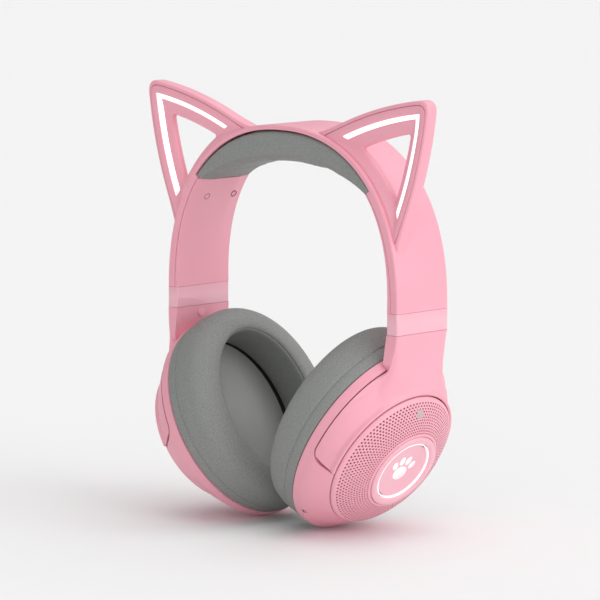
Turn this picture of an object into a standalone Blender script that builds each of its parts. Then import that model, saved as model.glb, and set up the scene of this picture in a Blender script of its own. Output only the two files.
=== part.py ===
"""Over-ear gaming headset with cat ears: a sprung band, two sliders, two tilting cups.

The frame: +Z up, +X to the wearer's left, -Y to the wearer's front. The origin lies in the middle
of the underside of the head pad, where the headset rests on a head. Sizes are in millimetres, and
mesh_piece() turns them into metres.
"""

import math

import bmesh
import bpy
import numpy as np

# Driving dimensions. The band's outer line, seen from the front, is a superellipse.
BAND_HALF_WIDTH = 79.0
BAND_RISE = 87.7
BAND_POWER = 2.26
BAND_DEPTH = 36.2
BAND_THICK = 7.0
BAND_ROUND = 2.2
SHELL_WALL = 1.8
SHELL_LIP = 2.5
COVER_THICK = 2.0
GAP = 0.3

SPRING_THICK = 0.6
SPRING_DEPTH = 18.0
SPRING_LENGTH = 182.0

PAD_LENGTH = 140.0
PAD_DROP = 15.2
PAD_SIDE_INSET = 0.5
PLATE_THICK = 1.4
PLATE_DEPTH = 26.0

# The slider: a straight rail in the hollow end of the band, and the glossy collar under the band.
COLLAR_HEIGHT = 10.2
RAIL_THICK = 1.2
RAIL_DEPTH = 18.0
SLIDE_TRAVEL = 16.0
RAIL_HELD = 9.0
RAIL_IN_YOKE = 6.5
GUIDE_LENGTH = 10.0
GUIDE_DEPTH = 28.0
SCREW_RADIUS = 1.3
SCREW_HEAD_RADIUS = 2.4
SCREW_HEAD_THICK = 1.3
SCREW_COVER = 1.6

# The cup, in its own axes: along the long axis, along the short axis, and out from the head.
RIM_LONG = 53.1
RIM_SHORT = 45.1
RIM_HEIGHT = 5.4
CUP_DEPTH = 18.0
FACE_RADIUS = 38.6
CUP_WALL = 2.2
SEAT_DEPTH = 1.0
SEAT_WIDTH = 1.4
CUP_LEAN = math.radians(3.6)
REST_TILT = math.radians(29.74)
CUP_BACK = 1.4
NECK_HEIGHT = 9.7
YOKE_WALL = 2.4
YOKE_CLEARANCE = 0.6
YOKE_RIM_GAP = 0.9
YOKE_END = -5.0
YOKE_END_ROUND = 4.0
YOKE_LEAST_WALL = 1.6
NECK_SUNK = 0.25
PIVOT_LONG = 3.0
PIVOT_OUT = 11.6
PIVOT_RADIUS = 2.5
TILT_RANGE = math.radians(9.0)

CUSHION_THICK = 25.6
CUSHION_ROUND = 10.5
CUSHION_TAPER = 0.035
CUSHION_YAW = -0.025
CUSHION_GAP = 1.2
EAR_HOLE_LONG = 39.0
EAR_HOLE_SHORT = 29.0
EAR_HOLE_ROUND = 6.0

BAFFLE_THICK = 2.0
DRIVER_RADIUS = 21.0
MAGNET_RADIUS = 13.0
BOARD_CLEAR = 1.2
BATTERY_CLEAR = 2.3
GRILLE_SPHERE = 64.0
GRILLE_THICK = 1.3
BADGE_RADIUS = 17.3
LIGHT_RING_WIDTH = 2.8
BADGE_THICK = 2.2
BADGE_SUNK = 0.6

# The cat ears: two curved sides on the band, a frame of unequal sides, and a V of light.
EAR_FROM = 25.5
EAR_TO = 101.5
EAR_REACH = 56.8
EAR_TIP_SHIFT = 3.0
EAR_BULGE = 3.3
EAR_TIP_ROUND = 7.0
EAR_FRONT = -16.0
EAR_DEPTH = 7.0
EAR_TOP_SIDE = 15.3
EAR_OUTER_SIDE = 12.0
EAR_BASE_SIDE = 5.0
EAR_RIM = 2.0
EAR_BASE_RIM = 1.5
BEZEL_THICK = 1.5
LIGHT_INSET = 6.0
LIGHT_WIDTH = 3.1
LIGHT_FOOT = 4.5
LIGHT_SHOULDER = 1.4
BOARD_THICK = 0.9

BUTTON_LENGTH = 8.0
BUTTON_HEIGHT = 3.4
BUTTON_PROUD = 0.9
BUTTON_DEPTH = 5.5
SOCKET_WIDTH = 9.0
SOCKET_HEIGHT = 3.2
SOCKET_DEPTH = 6.5
SOCKET_WALL = 0.6
MICROPHONE_RADIUS = 2.0
MICROPHONE_DEPTH = 2.4
MICROPHONE_SLOT = (4.2, 1.5)
BOARD_SIZE = (42.0, 30.0, 1.2)
BATTERY_SIZE = (17.4, 26.0)

OVAL_POINTS = 32
ROUND_POINTS = 16

# Values that follow from the driving dimensions.
CROWN_Z = PAD_DROP + SHELL_LIP
END_Z = CROWN_Z - BAND_RISE
HALF_DEPTH = BAND_DEPTH / 2
COVER_AT = BAND_THICK - COVER_THICK
PAD_HALF = PAD_LENGTH / 2
RAIL_IN_BAND = SLIDE_TRAVEL + RAIL_HELD
RAIL_DEPTH_IN_BAND = (COVER_AT + SHELL_WALL) / 2
COLLAR_TOP = END_Z - GAP
COLLAR_BOTTOM = COLLAR_TOP - COLLAR_HEIGHT
YOKE_TOP = COLLAR_BOTTOM - GAP
FACE_OUT = CUP_DEPTH + GAP


def clear_scene():
    for item in list(bpy.data.objects):
        bpy.data.objects.remove(item, do_unlink=True)


# Meshes. A body is a row of rings of equal length, skinned with quads.


def skin(rings, closed=False):
    """Points and faces of a tube through the rings: closed joins the last ring to the first."""
    rings = np.asarray(rings, float)
    count, around = rings.shape[:2]
    grid = np.arange(count * around).reshape(count, around)
    rows = np.arange(count if closed else count - 1)
    here, above = grid[rows], grid[(rows + 1) % count]
    quads = np.stack([here, np.roll(here, -1, 1), np.roll(above, -1, 1), above], 2).reshape(-1, 4)
    faces = quads.tolist()
    if not closed:
        faces += [grid[0].tolist(), grid[-1].tolist()]
    return rings.reshape(-1, 3), faces


def material(name, colour, rough, metal=0.0):
    made = bpy.data.materials.get(name) or bpy.data.materials.new(name)
    made.use_nodes = True
    shader = made.node_tree.nodes["Principled BSDF"]
    shader.inputs["Base Color"].default_value = (*colour, 1.0)
    shader.inputs["Roughness"].default_value = rough
    shader.inputs["Metallic"].default_value = metal
    return made


PINK = ("pink_shell", (0.86, 0.42, 0.50), 0.45)
PINK_GLOSS = ("pink_gloss", (0.90, 0.50, 0.58), 0.12)
GREY_PAD = ("grey_pad", (0.20, 0.22, 0.21), 0.8)
CLOTH = ("grey_cloth", (0.19, 0.20, 0.19), 0.95)
STEEL = ("spring_steel", (0.55, 0.56, 0.58), 0.3, 1.0)
BLACK = ("black_plastic", (0.05, 0.05, 0.05), 0.5)
LIGHT = ("light_diffuser", (0.95, 0.95, 0.95), 0.3)
BOARD = ("circuit_board", (0.04, 0.16, 0.08), 0.5)


def mesh_piece(name, body, look, parent, hidden=False):
    """An object from points and faces in millimetres, with its origin at its parent's."""
    points, faces = body
    middle = np.zeros(3) if parent is None else np.array(parent["middle"])
    mesh = bpy.data.meshes.new(name)
    mesh.from_pydata(((points - middle) * 0.001).tolist(), [], faces)
    shaped = bmesh.new()
    shaped.from_mesh(mesh)
    bmesh.ops.recalc_face_normals(shaped, faces=shaped.faces)
    shaped.to_mesh(mesh)
    shaped.free()
    mesh.shade_smooth()
    mesh.set_sharp_from_angle(angle=math.radians(32))
    mesh.materials.append(material(*look))
    made = bpy.data.objects.new(name, mesh)
    bpy.context.collection.objects.link(made)
    made.parent = parent
    if hidden:
        made.hide_render = True
        made.display_type = "WIRE"
    return made


def cutter(name, body, parent=None):
    return mesh_piece(name + "_cutter", body, BLACK, parent, hidden=True)


def combine(target, other, operation="DIFFERENCE"):
    change = target.modifiers.new(other.name, "BOOLEAN")
    change.operation = operation
    change.solver = "EXACT"
    change.object = other


def axis_empty(name, middle, parent=None):
    """An empty on a joint's axis, which the joint's pieces hang from."""
    empty = bpy.data.objects.new(name, None)
    bpy.context.collection.objects.link(empty)
    empty["middle"] = [float(value) for value in middle]
    above = np.zeros(3) if parent is None else np.array(parent["middle"])
    empty.parent = parent
    empty.location = (np.asarray(middle) - above) * 0.001
    return empty


def rounded_box(low, high, radius, axis):
    """A box whose four edges along one axis are rounded, as a two-ring body."""
    low, high = np.asarray(low, float), np.asarray(high, float)
    across, up = [number for number in range(3) if number != axis]
    radius = min(radius, 0.49 * min(high[across] - low[across], high[up] - low[up]))
    ring = []
    for corner in range(4):
        at_high = corner in (0, 3), corner in (0, 1)
        middle = [
            high[number] - radius if top else low[number] + radius
            for number, top in zip((across, up), at_high)
        ]
        for step in range(4):
            turn = math.radians(90 * corner + 30 * step)
            ring.append((middle[0] + radius * math.cos(turn), middle[1] + radius * math.sin(turn)))
    rings = []
    for end in (low[axis], high[axis]):
        points = np.empty((len(ring), 3))
        points[:, [across, up]] = ring
        points[:, axis] = end
        rings.append(points)
    return skin(rings)


# The arch of the band.


def arch_line():
    """Dense points of the band's outer line from crown to end, with distances along it."""
    turn = np.linspace(0, math.pi / 2, 4000)
    across = BAND_HALF_WIDTH * np.sin(turn) ** (2 / BAND_POWER)
    up = END_Z + BAND_RISE * np.cos(turn) ** (2 / BAND_POWER)
    along = np.concatenate([[0], np.cumsum(np.hypot(np.diff(across), np.diff(up)))])
    return across, up, along


ARCH_X, ARCH_Z, ARCH_S = arch_line()
ARCH_HALF = ARCH_S[-1]


def arch_at(along, depth=0.0):
    """(x, z) at a distance from the crown along the outer line, moved in from it by the depth."""
    reach = np.abs(along)
    step = 0.5
    x, z = np.interp(reach, ARCH_S, ARCH_X), np.interp(reach, ARCH_S, ARCH_Z)
    before = np.maximum(reach - step, 0)
    after = np.minimum(reach + step, ARCH_HALF)
    dx = np.interp(after, ARCH_S, ARCH_X) - np.interp(before, ARCH_S, ARCH_X)
    dz = np.interp(after, ARCH_S, ARCH_Z) - np.interp(before, ARCH_S, ARCH_Z)
    flat = np.where(reach < step, 0.0, dz)
    length = np.hypot(dx, flat)
    side = np.sign(along) + (np.asarray(along) == 0)
    return side * (x + depth * flat / length), z - depth * dx / length


def sweep(stations, section):
    """A body along the band: section(distance) gives points (y, depth below the outer line)."""
    rings = []
    for along in stations:
        outline = np.asarray(section(along), float)
        x, z = arch_at(along, outline[:, 1])
        rings.append(np.stack([x, outline[:, 0], z], 1))
    return skin(rings)


def flat_section(half, top, bottom):
    return lambda along: [(-half, top), (half, top), (half, bottom), (-half, bottom)]


def outer_shell_section(along):
    """A channel open to the head, with shallow lips beside the pad and deep ones below it."""
    lip = SHELL_LIP if abs(along) < PAD_HALF else COVER_AT - GAP
    inner = HALF_DEPTH - SHELL_WALL
    side = [
        (inner, SHELL_WALL),
        (inner, lip),
        (HALF_DEPTH, lip),
        (HALF_DEPTH, BAND_ROUND),
        (HALF_DEPTH - 0.3 * BAND_ROUND, 0.3 * BAND_ROUND),
        (HALF_DEPTH - BAND_ROUND, 0),
    ]
    return [(-y, depth) for y, depth in side] + side[::-1]


def stations_between(low, high, spacing=5.0):
    return np.linspace(low, high, max(2, int(round((high - low) / spacing)) + 1))


def headband_outer_shell():
    edge = 0.05
    legs = stations_between(PAD_HALF + edge, ARCH_HALF)
    top = stations_between(-PAD_HALF + edge, PAD_HALF - edge, 4.5)
    stations = np.concatenate([-legs[::-1], top, legs])
    return mesh_piece("headband_outer_shell", sweep(stations, outer_shell_section), PINK, None)


def headband_inner_cover(name, side):
    chamfer = 0.8 * COVER_THICK

    def section(along):
        half = [
            (HALF_DEPTH, COVER_AT),
            (HALF_DEPTH, BAND_THICK - chamfer),
            (HALF_DEPTH - chamfer, BAND_THICK - 0.3 * chamfer),
            (HALF_DEPTH - 2 * chamfer, BAND_THICK),
        ]
        return [(-y, depth) for y, depth in half] + half[::-1]

    stations = side * stations_between(PAD_HALF + GAP, ARCH_HALF)
    return mesh_piece(f"headband_inner_cover_{name}", sweep(stations, section), PINK, None)


def headband_spring():
    top = SHELL_WALL + GAP
    stations = stations_between(-SPRING_LENGTH / 2, SPRING_LENGTH / 2, 6.0)
    section = flat_section(SPRING_DEPTH / 2, top, top + SPRING_THICK)
    mesh_piece("headband_spring_band", sweep(stations, section), STEEL, None)


def headband_pad():
    """The pad fills from the band's lips down to a flatter line, and is grooved for its plate."""
    spring_under = SHELL_WALL + SPRING_THICK + 2 * GAP
    plate_under = spring_under + PLATE_THICK
    half = HALF_DEPTH - PAD_SIDE_INSET
    groove = PLATE_DEPTH / 2 + GAP
    plate_half = PAD_HALF - 2
    stations = stations_between(-plate_half, plate_half, 6.0)
    section = flat_section(PLATE_DEPTH / 2, spring_under, plate_under)
    mesh_piece("headband_pad_plate", sweep(stations, section), BLACK, None)

    def pad_section(along):
        top = SHELL_LIP + GAP
        share = abs(along) / PAD_HALF
        drop = PAD_DROP - GAP - (PAD_DROP + SHELL_LIP - BAND_THICK - GAP) * share**2.4
        bottom = top + drop
        soft = 0.35 * drop
        flank = [
            (groove, plate_under + GAP),
            (groove, top),
            (half - 0.5, top),
            (half, top + 0.25 * soft),
            (half, bottom - soft),
            (half - 0.35 * soft, bottom - 0.4 * soft),
            (half - 1.3 * soft, bottom),
        ]
        return flank + [(-y, depth) for y, depth in flank[::-1]]

    stations = stations_between(GAP - PAD_HALF, PAD_HALF - GAP)
    mesh_piece("headband_pad", sweep(stations, pad_section), GREY_PAD, None)


# The slider.


def rail_line():
    """Foot and tilt of the rail's middle line: a chord of the middle of the band's hollow."""
    foot = np.array(arch_at(ARCH_HALF, RAIL_DEPTH_IN_BAND))
    head = np.array(arch_at(ARCH_HALF - RAIL_IN_BAND, RAIL_DEPTH_IN_BAND))
    middle = np.array(arch_at(ARCH_HALF - RAIL_IN_BAND / 2, RAIL_DEPTH_IN_BAND))
    tilt = math.atan2(foot[0] - head[0], head[1] - foot[1])
    chord_x = (foot[0] + head[0]) / 2
    return foot + [(middle[0] - chord_x) / 2, 0], tilt


RAIL_FOOT, RAIL_TILT = rail_line()


def rail_box(side, low, high, thick, depth, radius=0.0):
    """A flat bar along the rail's line, between two heights above the band's end."""
    corners = (-thick / 2, -depth / 2, low), (thick / 2, depth / 2, high)
    points, faces = rounded_box(*corners, radius, 0)
    cos, sin = math.cos(RAIL_TILT), math.sin(RAIL_TILT)
    x = RAIL_FOOT[0] + points[:, 0] * cos - points[:, 2] * sin
    z = RAIL_FOOT[1] + points[:, 2] * cos + points[:, 0] * sin
    return np.stack([side * x, points[:, 1], z], 1), faces


def slider_guide(name, side):
    """A block in the end of the band, with a channel open to the head for the rail."""
    low, high = SHELL_WALL + GAP, COVER_AT - GAP
    stations = side * stations_between(ARCH_HALF - GUIDE_LENGTH - 1, ARCH_HALF - 1, 3.0)
    section = flat_section(GUIDE_DEPTH / 2, low, high)
    guide = mesh_piece(f"slider_guide_{name}", sweep(stations, section), BLACK, None)
    room = RAIL_THICK + 2 * GAP
    channel_body = rail_box(side, -5, GUIDE_LENGTH + 9, room, RAIL_DEPTH + 2 * GAP)
    channel = cutter(f"slider_channel_{name}", channel_body)
    combine(guide, channel)
    open_side = [(RAIL_DEPTH / 2 + GAP, RAIL_DEPTH_IN_BAND), (RAIL_DEPTH / 2 + GAP, BAND_THICK)]
    mouth = cutter(
        f"slider_mouth_{name}",
        sweep(
            side * stations_between(ARCH_HALF - GUIDE_LENGTH - 4, ARCH_HALF, 3.0),
            lambda along: [(-y, depth) for y, depth in open_side] + open_side[::-1],
        ),
    )
    combine(guide, mouth)


def slider_rail(name, side, parent):
    foot = -(COLLAR_HEIGHT + 2 * GAP + RAIL_IN_YOKE)
    rail = mesh_piece(
        f"slider_rail_{name}",
        rail_box(side, foot, RAIL_IN_BAND, RAIL_THICK, RAIL_DEPTH, 2.0),
        STEEL,
        parent,
    )
    combine(rail, cutter(f"rail_screw_hole_{name}", screw_hole(side, SCREW_RADIUS + GAP), parent))


def screw_middle():
    return YOKE_TOP - RAIL_IN_YOKE / 2


def turned_x(profile, height, side):
    """A round body about a line along X at a height: profile holds (x, radius)."""
    turn = np.linspace(0, 2 * math.pi, ROUND_POINTS, endpoint=False)
    rings = [
        np.stack([np.full(ROUND_POINTS, side * x), r * np.cos(turn), height + r * np.sin(turn)], 1)
        for x, r in profile
    ]
    return skin(rings)


def screw_hole(side, radius):
    low, high = BAND_HALF_WIDTH - BAND_THICK - 1, BAND_HALF_WIDTH - SCREW_COVER
    return turned_x([(low, radius), (high, radius)], screw_middle(), side)


def slider_screw(name, side, parent):
    face = BAND_HALF_WIDTH - BAND_THICK + GAP
    head = face + SCREW_HEAD_THICK
    tip = BAND_HALF_WIDTH - SCREW_COVER - GAP
    profile = [(face, SCREW_HEAD_RADIUS), (head, SCREW_HEAD_RADIUS)]
    profile += [(head, SCREW_RADIUS), (tip, SCREW_RADIUS)]
    mesh_piece(f"slider_screw_{name}", turned_x(profile, screw_middle(), side), STEEL, parent)


def slider_collar(name, side, parent):
    """The glossy ring that closes the end of the band: the rail runs through it."""
    outer, inner = BAND_HALF_WIDTH, BAND_HALF_WIDTH - BAND_THICK
    corners = (inner, -HALF_DEPTH, COLLAR_BOTTOM), (outer, HALF_DEPTH, COLLAR_TOP)
    body = rounded_box(*corners, BAND_ROUND, 2)
    ring = mesh_piece(f"slider_collar_{name}", mirrored(body, side), PINK_GLOSS, parent)
    hole = rail_box(side, -COLLAR_HEIGHT - 3, 3, RAIL_THICK + 2 * GAP, RAIL_DEPTH + 2 * GAP)
    combine(ring, cutter(f"collar_hole_{name}", hole, parent))


def mirrored(body, side):
    points, faces = body
    return points * [side, 1, 1], faces


# The cup's own axes. The tilt brings the two cushions' low edges together, CUSHION_GAP apart.


def cup_axes(tilt):
    out = np.array([math.cos(tilt), 0, -math.sin(tilt)])
    up = np.array([math.sin(tilt), 0, math.cos(tilt)])
    long = math.cos(CUP_LEAN) * up + math.sin(CUP_LEAN) * np.array([0, 1, 0])
    return np.stack([long, np.cross(out, long), out])


def cup_middle(tilt):
    axes = cup_axes(tilt)
    x = BAND_HALF_WIDTH - FACE_OUT * axes[2][0] - FACE_RADIUS * axes[0][0]
    z = YOKE_TOP + GAP - NECK_HEIGHT - RIM_LONG * axes[0][2]
    return np.array([x, -CUP_BACK, z])


def cushion_low_edge(tilt):
    """The x of the cushion's lowest inner corner, a circle of CUSHION_ROUND."""
    axes = cup_axes(tilt)
    low = -(RIM_LONG - CUSHION_ROUND)
    thick = CUSHION_THICK + CUSHION_TAPER * low
    corner = low * axes[0] - (thick - CUSHION_ROUND) * axes[2]
    return cup_middle(tilt)[0] + corner[0] - CUSHION_ROUND


def solve_tilt():
    """The tilt that the pivots rest at, or less where the two cushions would meet."""
    low, high = 0.0, REST_TILT
    for _ in range(50):
        middle = (low + high) / 2
        if cushion_low_edge(middle) > CUSHION_GAP / 2:
            low = middle
        else:
            high = middle
    return low


CUP_TILT = solve_tilt()
CUP_AXES = cup_axes(CUP_TILT)
CUP_MIDDLE = cup_middle(CUP_TILT)


def place(points, side=1):
    """World points of cup points (long, short, out)."""
    return (CUP_MIDDLE + np.asarray(points, float) @ CUP_AXES) * [side, 1, 1]


def oval(semi_long, semi_short, out):
    turn = np.linspace(0, 2 * math.pi, OVAL_POINTS, endpoint=False)
    heights = np.full(OVAL_POINTS, out)
    return np.stack([semi_long * np.cos(turn), semi_short * np.sin(turn), heights], 1)


def turned(profile, side, closed=False):
    """A body about the cup's axis: profile holds (long semi-axis, short semi-axis, out)."""
    points, faces = skin([oval(*row) for row in profile], closed)
    return place(points, side), faces


def cup_line(out, inset=0.0):
    """Semi-axes of the cup's outer surface at a height: straight up the rim, then narrowing."""
    share = np.clip((out - RIM_HEIGHT) / (CUP_DEPTH - RIM_HEIGHT), 0, 1)
    rise = np.clip(out / RIM_HEIGHT, 0, 1)
    bend_long, bend_short = share, share**1.5
    long = RIM_LONG - rise - (RIM_LONG - 1 - FACE_RADIUS) * bend_long
    short = RIM_SHORT - 0.5 * rise - (RIM_SHORT - 0.5 - FACE_RADIUS) * bend_short
    return long - inset, short - inset, out


CUP_LEVELS = tuple(np.linspace(RIM_HEIGHT, CUP_DEPTH, 5))
CORE_INSET = YOKE_WALL + YOKE_CLEARANCE
SEAT_OUT = CUP_DEPTH - SEAT_DEPTH
FLOOR_OUT = SEAT_OUT - CUP_WALL
BAFFLE_OUT = 1.1
DRIVER_OUT = BAFFLE_OUT + BAFFLE_THICK + GAP
BOARD_OUT = FLOOR_OUT - BOARD_CLEAR - BOARD_SIZE[2]
DRIVER_DEPTH = BOARD_OUT - 2 * GAP - DRIVER_OUT
DRIVER_FRAME = DRIVER_DEPTH / 2


def core_line(out):
    """The cup's surface under the yoke. It never comes inside the rim of the face."""
    long, short, _ = cup_line(out, CORE_INSET)
    least = FACE_RADIUS - YOKE_CLEARANCE
    return max(long, least), max(short, least), out


def yoke_inner_line(out):
    long, short, _ = core_line(out)
    return long + YOKE_CLEARANCE, short + YOKE_CLEARANCE, out


def yoke_outer_line(out):
    long, short, _ = cup_line(out)
    least = FACE_RADIUS + YOKE_LEAST_WALL
    return max(long, least), max(short, least), out


def yoke_profile_hull(side, grow, turns):
    """The prism that holds the arms: out beyond the rim, and up from their rounded ends."""
    low_out = RIM_HEIGHT + YOKE_RIM_GAP
    corner = (low_out + YOKE_END_ROUND, YOKE_END + YOKE_END_ROUND)
    outline = [(low_out - grow, 80.0), (60.0, 80.0), (60.0, YOKE_END - grow)]
    for step in range(5):
        turn = math.radians(180 + 22.5 * step)
        reach = YOKE_END_ROUND + grow
        outline.append((corner[0] + reach * math.cos(turn), corner[1] + reach * math.sin(turn)))
    outline = np.array(outline)
    swung = []
    for turn in turns:
        offset = outline - [PIVOT_OUT, PIVOT_LONG]
        cos, sin = math.cos(turn), math.sin(turn)
        out = offset[:, 0] * cos + offset[:, 1] * sin + PIVOT_OUT
        long = offset[:, 1] * cos - offset[:, 0] * sin + PIVOT_LONG
        keep = long < 60
        swung += [(l, o) for l, o, kept in zip(long, out, keep) if kept or turn == 0]
    shape = bmesh.new()
    for l, o in swung:
        for s in (-70.0, 70.0):
            shape.verts.new(place([(l, s, o)], side)[0])
    hull = bmesh.ops.convex_hull(shape, input=shape.verts)
    unused = [item for item in hull["geom_interior"] if isinstance(item, bmesh.types.BMVert)]
    bmesh.ops.delete(shape, geom=unused, context="VERTS")
    shape.verts.index_update()
    points = np.array([vert.co[:] for vert in shape.verts])
    faces = [[vert.index for vert in face.verts] for face in shape.faces]
    shape.free()
    return points, faces


def yoke(name, side, parent):
    """The fork: a neck under the collar and a shell round the upper half of the cup."""
    levels = [level for level in CUP_LEVELS if level > RIM_HEIGHT + YOKE_RIM_GAP]
    levels = [RIM_HEIGHT + YOKE_RIM_GAP] + levels[:-1] + [FACE_OUT + GAP]
    profile = [yoke_outer_line(level) for level in levels]
    profile += [yoke_inner_line(level) for level in levels[::-1]]
    fork = mesh_piece(f"yoke_{name}", turned(profile, side, closed=True), PINK, parent)
    half = cutter(f"yoke_half_{name}", yoke_profile_hull(side, 0.0, (0.0,)), parent)
    combine(fork, half, "INTERSECT")
    outer, inner = BAND_HALF_WIDTH, BAND_HALF_WIDTH - BAND_THICK
    face_top = place([(FACE_RADIUS, 0, CUP_DEPTH)])[0][2]
    corners = (inner, -HALF_DEPTH, face_top + 5), (outer, HALF_DEPTH, YOKE_TOP)
    box = rounded_box(*corners, BAND_ROUND, 2)
    neck = cutter(f"yoke_neck_{name}", mirrored(box, side), parent)
    low_out = RIM_HEIGHT + YOKE_RIM_GAP + GAP
    room = [(RIM_LONG + YOKE_RIM_GAP, RIM_SHORT + YOKE_RIM_GAP, out) for out in (-40.0, low_out)]
    combine(neck, cutter(f"rim_room_{name}", turned(room, side), parent))
    proud = NECK_SUNK
    core = [(long - proud, short - proud, out) for long, short, out in map(yoke_inner_line, levels)]
    core = [(*core[0][:2], -2.0)] + core + [(*core[-1][:2], 40.0)]
    combine(neck, cutter(f"core_room_{name}", turned(core, side), parent))
    combine(fork, neck, "UNION")
    slot_foot = -(COLLAR_HEIGHT + 3 * GAP + RAIL_IN_YOKE)
    slot_size = RAIL_THICK + 2 * GAP, RAIL_DEPTH + 2 * GAP
    slot = rail_box(side, slot_foot, 3 - COLLAR_HEIGHT, *slot_size)
    combine(fork, cutter(f"yoke_slot_{name}", slot, parent))
    combine(fork, cutter(f"yoke_screw_hole_{name}", screw_hole(side, SCREW_RADIUS + GAP), parent))
    room = SCREW_HEAD_RADIUS + GAP
    head_end = inner + SCREW_HEAD_THICK + 2 * GAP
    head_room = turned_x([(inner - 1, room), (head_end, room)], screw_middle(), side)
    combine(fork, cutter(f"screw_head_room_{name}", head_room, parent))
    return fork


def pivot_body(side, end, radius, low, high):
    """A round body on the tilt axis, at the front (end 1) or the rear (end -1) of the cup."""
    turn = np.linspace(0, 2 * math.pi, ROUND_POINTS, endpoint=False)
    rings = [
        np.stack(
            [
                PIVOT_LONG + radius * np.cos(turn),
                np.full(ROUND_POINTS, end * reach),
                PIVOT_OUT + radius * np.sin(turn),
            ],
            1,
        )
        for reach in (low, high)
    ]
    points, faces = skin(rings)
    return place(points, side), faces


def cup_housing(name, side, parent):
    """The bucket: rim, wall that narrows to the round face, floor with a hole for the light."""
    inner = [cup_line(level, CUP_WALL) for level in (DRIVER_OUT, 0.0)]
    core_wall = [core_line(level) for level in np.linspace(RIM_HEIGHT, FLOOR_OUT, 4)]
    core_wall = [(long - CUP_WALL, short - CUP_WALL, out) for long, short, out in core_wall]
    seat = FACE_RADIUS - SEAT_WIDTH
    profile = [cup_line(0.0)] + [cup_line(level) for level in CUP_LEVELS]
    profile += [(seat, seat, CUP_DEPTH), (seat, seat, SEAT_OUT)]
    hole = BADGE_RADIUS - 3
    profile += [(hole, hole, SEAT_OUT), (hole, hole, FLOOR_OUT)]
    profile += core_wall[::-1] + inner
    profile = [(long, short, max(out, GAP)) for long, short, out in profile]
    housing = mesh_piece(f"cup_housing_{name}", turned(profile, side, closed=True), PINK, parent)
    levels = [RIM_HEIGHT - 4.0] + list(CUP_LEVELS) + [CUP_DEPTH + 4]
    inner_levels = [max(level, RIM_HEIGHT) for level in levels]
    ring = [(90.0, 90.0, levels[0]), (90.0, 90.0, levels[-1])]
    core = [core_line(at)[:2] + (level,) for at, level in zip(inner_levels, levels)]
    space = cutter(f"yoke_space_{name}", turned(ring + core[::-1], side, closed=True), parent)
    turns = [TILT_RANGE * share for share in (0.0, 0.5, 1.0)]
    half = cutter(f"yoke_swing_{name}", yoke_profile_hull(side, YOKE_CLEARANCE, turns), parent)
    combine(space, half, "INTERSECT")
    combine(housing, space)
    for end in (1, -1):
        hole_body = pivot_body(side, end, PIVOT_RADIUS + GAP, RIM_SHORT - 12, RIM_SHORT + 5)
        combine(housing, cutter(f"pivot_hole_{name}_{end + 1}", hole_body, parent))
    return housing


def pivot_reach():
    """Inner and outer ends of a pin: it bridges the housing's wall and the arm's."""
    core = core_line(PIVOT_OUT)[1]
    return core - CUP_WALL + 0.4, core + YOKE_CLEARANCE + YOKE_WALL - 1.3


def pivot_pins(name, side, parent, fork):
    low, high = pivot_reach()
    for end, word in ((1, "front"), (-1, "rear")):
        body = pivot_body(side, end, PIVOT_RADIUS, low, high)
        mesh_piece(f"pivot_pin_{word}_{name}", body, STEEL, parent)
        room = pivot_body(side, end, PIVOT_RADIUS + GAP, low - 2, high + GAP)
        combine(fork, cutter(f"pivot_room_{word}_{name}", room, parent))


def ear_cushion(name, side, parent):
    """A thick ring with a round roll to the head, and an ear hollow right through it."""
    deep = CUSHION_THICK - CUSHION_ROUND
    profile = [(RIM_LONG - 0.6, RIM_SHORT - 0.6, 0.0), (RIM_LONG, RIM_SHORT + 0.4, -0.5 * deep)]
    for step in range(6):
        turn = math.radians(18 * step)
        back = CUSHION_ROUND * (1 - math.cos(turn))
        out = -deep - CUSHION_ROUND * math.sin(turn)
        profile.append((RIM_LONG - back, RIM_SHORT + 0.4 - back, out))
    for step in range(4):
        turn = math.radians(30 * step)
        back = EAR_HOLE_ROUND * (1 - math.sin(turn))
        low = -CUSHION_THICK + EAR_HOLE_ROUND * (1 - math.cos(turn))
        profile.append((EAR_HOLE_LONG + back, EAR_HOLE_SHORT + back, low))
    for wider, out in ((3, -0.4 * deep), (4, 0.0)):
        profile.append((EAR_HOLE_LONG + wider, EAR_HOLE_SHORT + wider, out))
    points, faces = skin([oval(*row) for row in profile], closed=True)
    thickness = 1 + (CUSHION_TAPER * points[:, 0] + CUSHION_YAW * points[:, 1]) / CUSHION_THICK
    points[:, 2] *= thickness
    mesh_piece(f"ear_cushion_{name}", (place(points, side), faces), GREY_PAD, parent)


def driver_pieces(name, side, parent):
    wall = CUP_WALL + GAP
    profile = [cup_line(level, wall) for level in (BAFFLE_OUT, BAFFLE_OUT + BAFFLE_THICK)]
    mesh_piece(f"driver_baffle_{name}", turned(profile, side), BLACK, parent)
    cloth = [(EAR_HOLE_LONG + 2, EAR_HOLE_SHORT + 2, level) for level in (GAP, BAFFLE_OUT - GAP)]
    mesh_piece(f"ear_scrim_{name}", turned(cloth, side), CLOTH, parent)
    steps = [
        (DRIVER_RADIUS, 0),
        (DRIVER_RADIUS, 0.57 * DRIVER_FRAME),
        (MAGNET_RADIUS + 2, 0.95 * DRIVER_FRAME),
        (MAGNET_RADIUS, DRIVER_FRAME),
        (MAGNET_RADIUS, DRIVER_DEPTH),
    ]
    profile = [(radius, radius, DRIVER_OUT + height) for radius, height in steps]
    mesh_piece(f"driver_{name}", turned(profile, side), BLACK, parent)


def grille_top(radius):
    """Height of the domed grille: part of a sphere that starts at the edge of the face."""
    edge = math.sqrt(GRILLE_SPHERE**2 - FACE_RADIUS**2)
    return FACE_OUT + 0.8 + math.sqrt(GRILLE_SPHERE**2 - radius**2) - edge


LIGHT_RING_RADIUS = BADGE_RADIUS + GAP + LIGHT_RING_WIDTH


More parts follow.
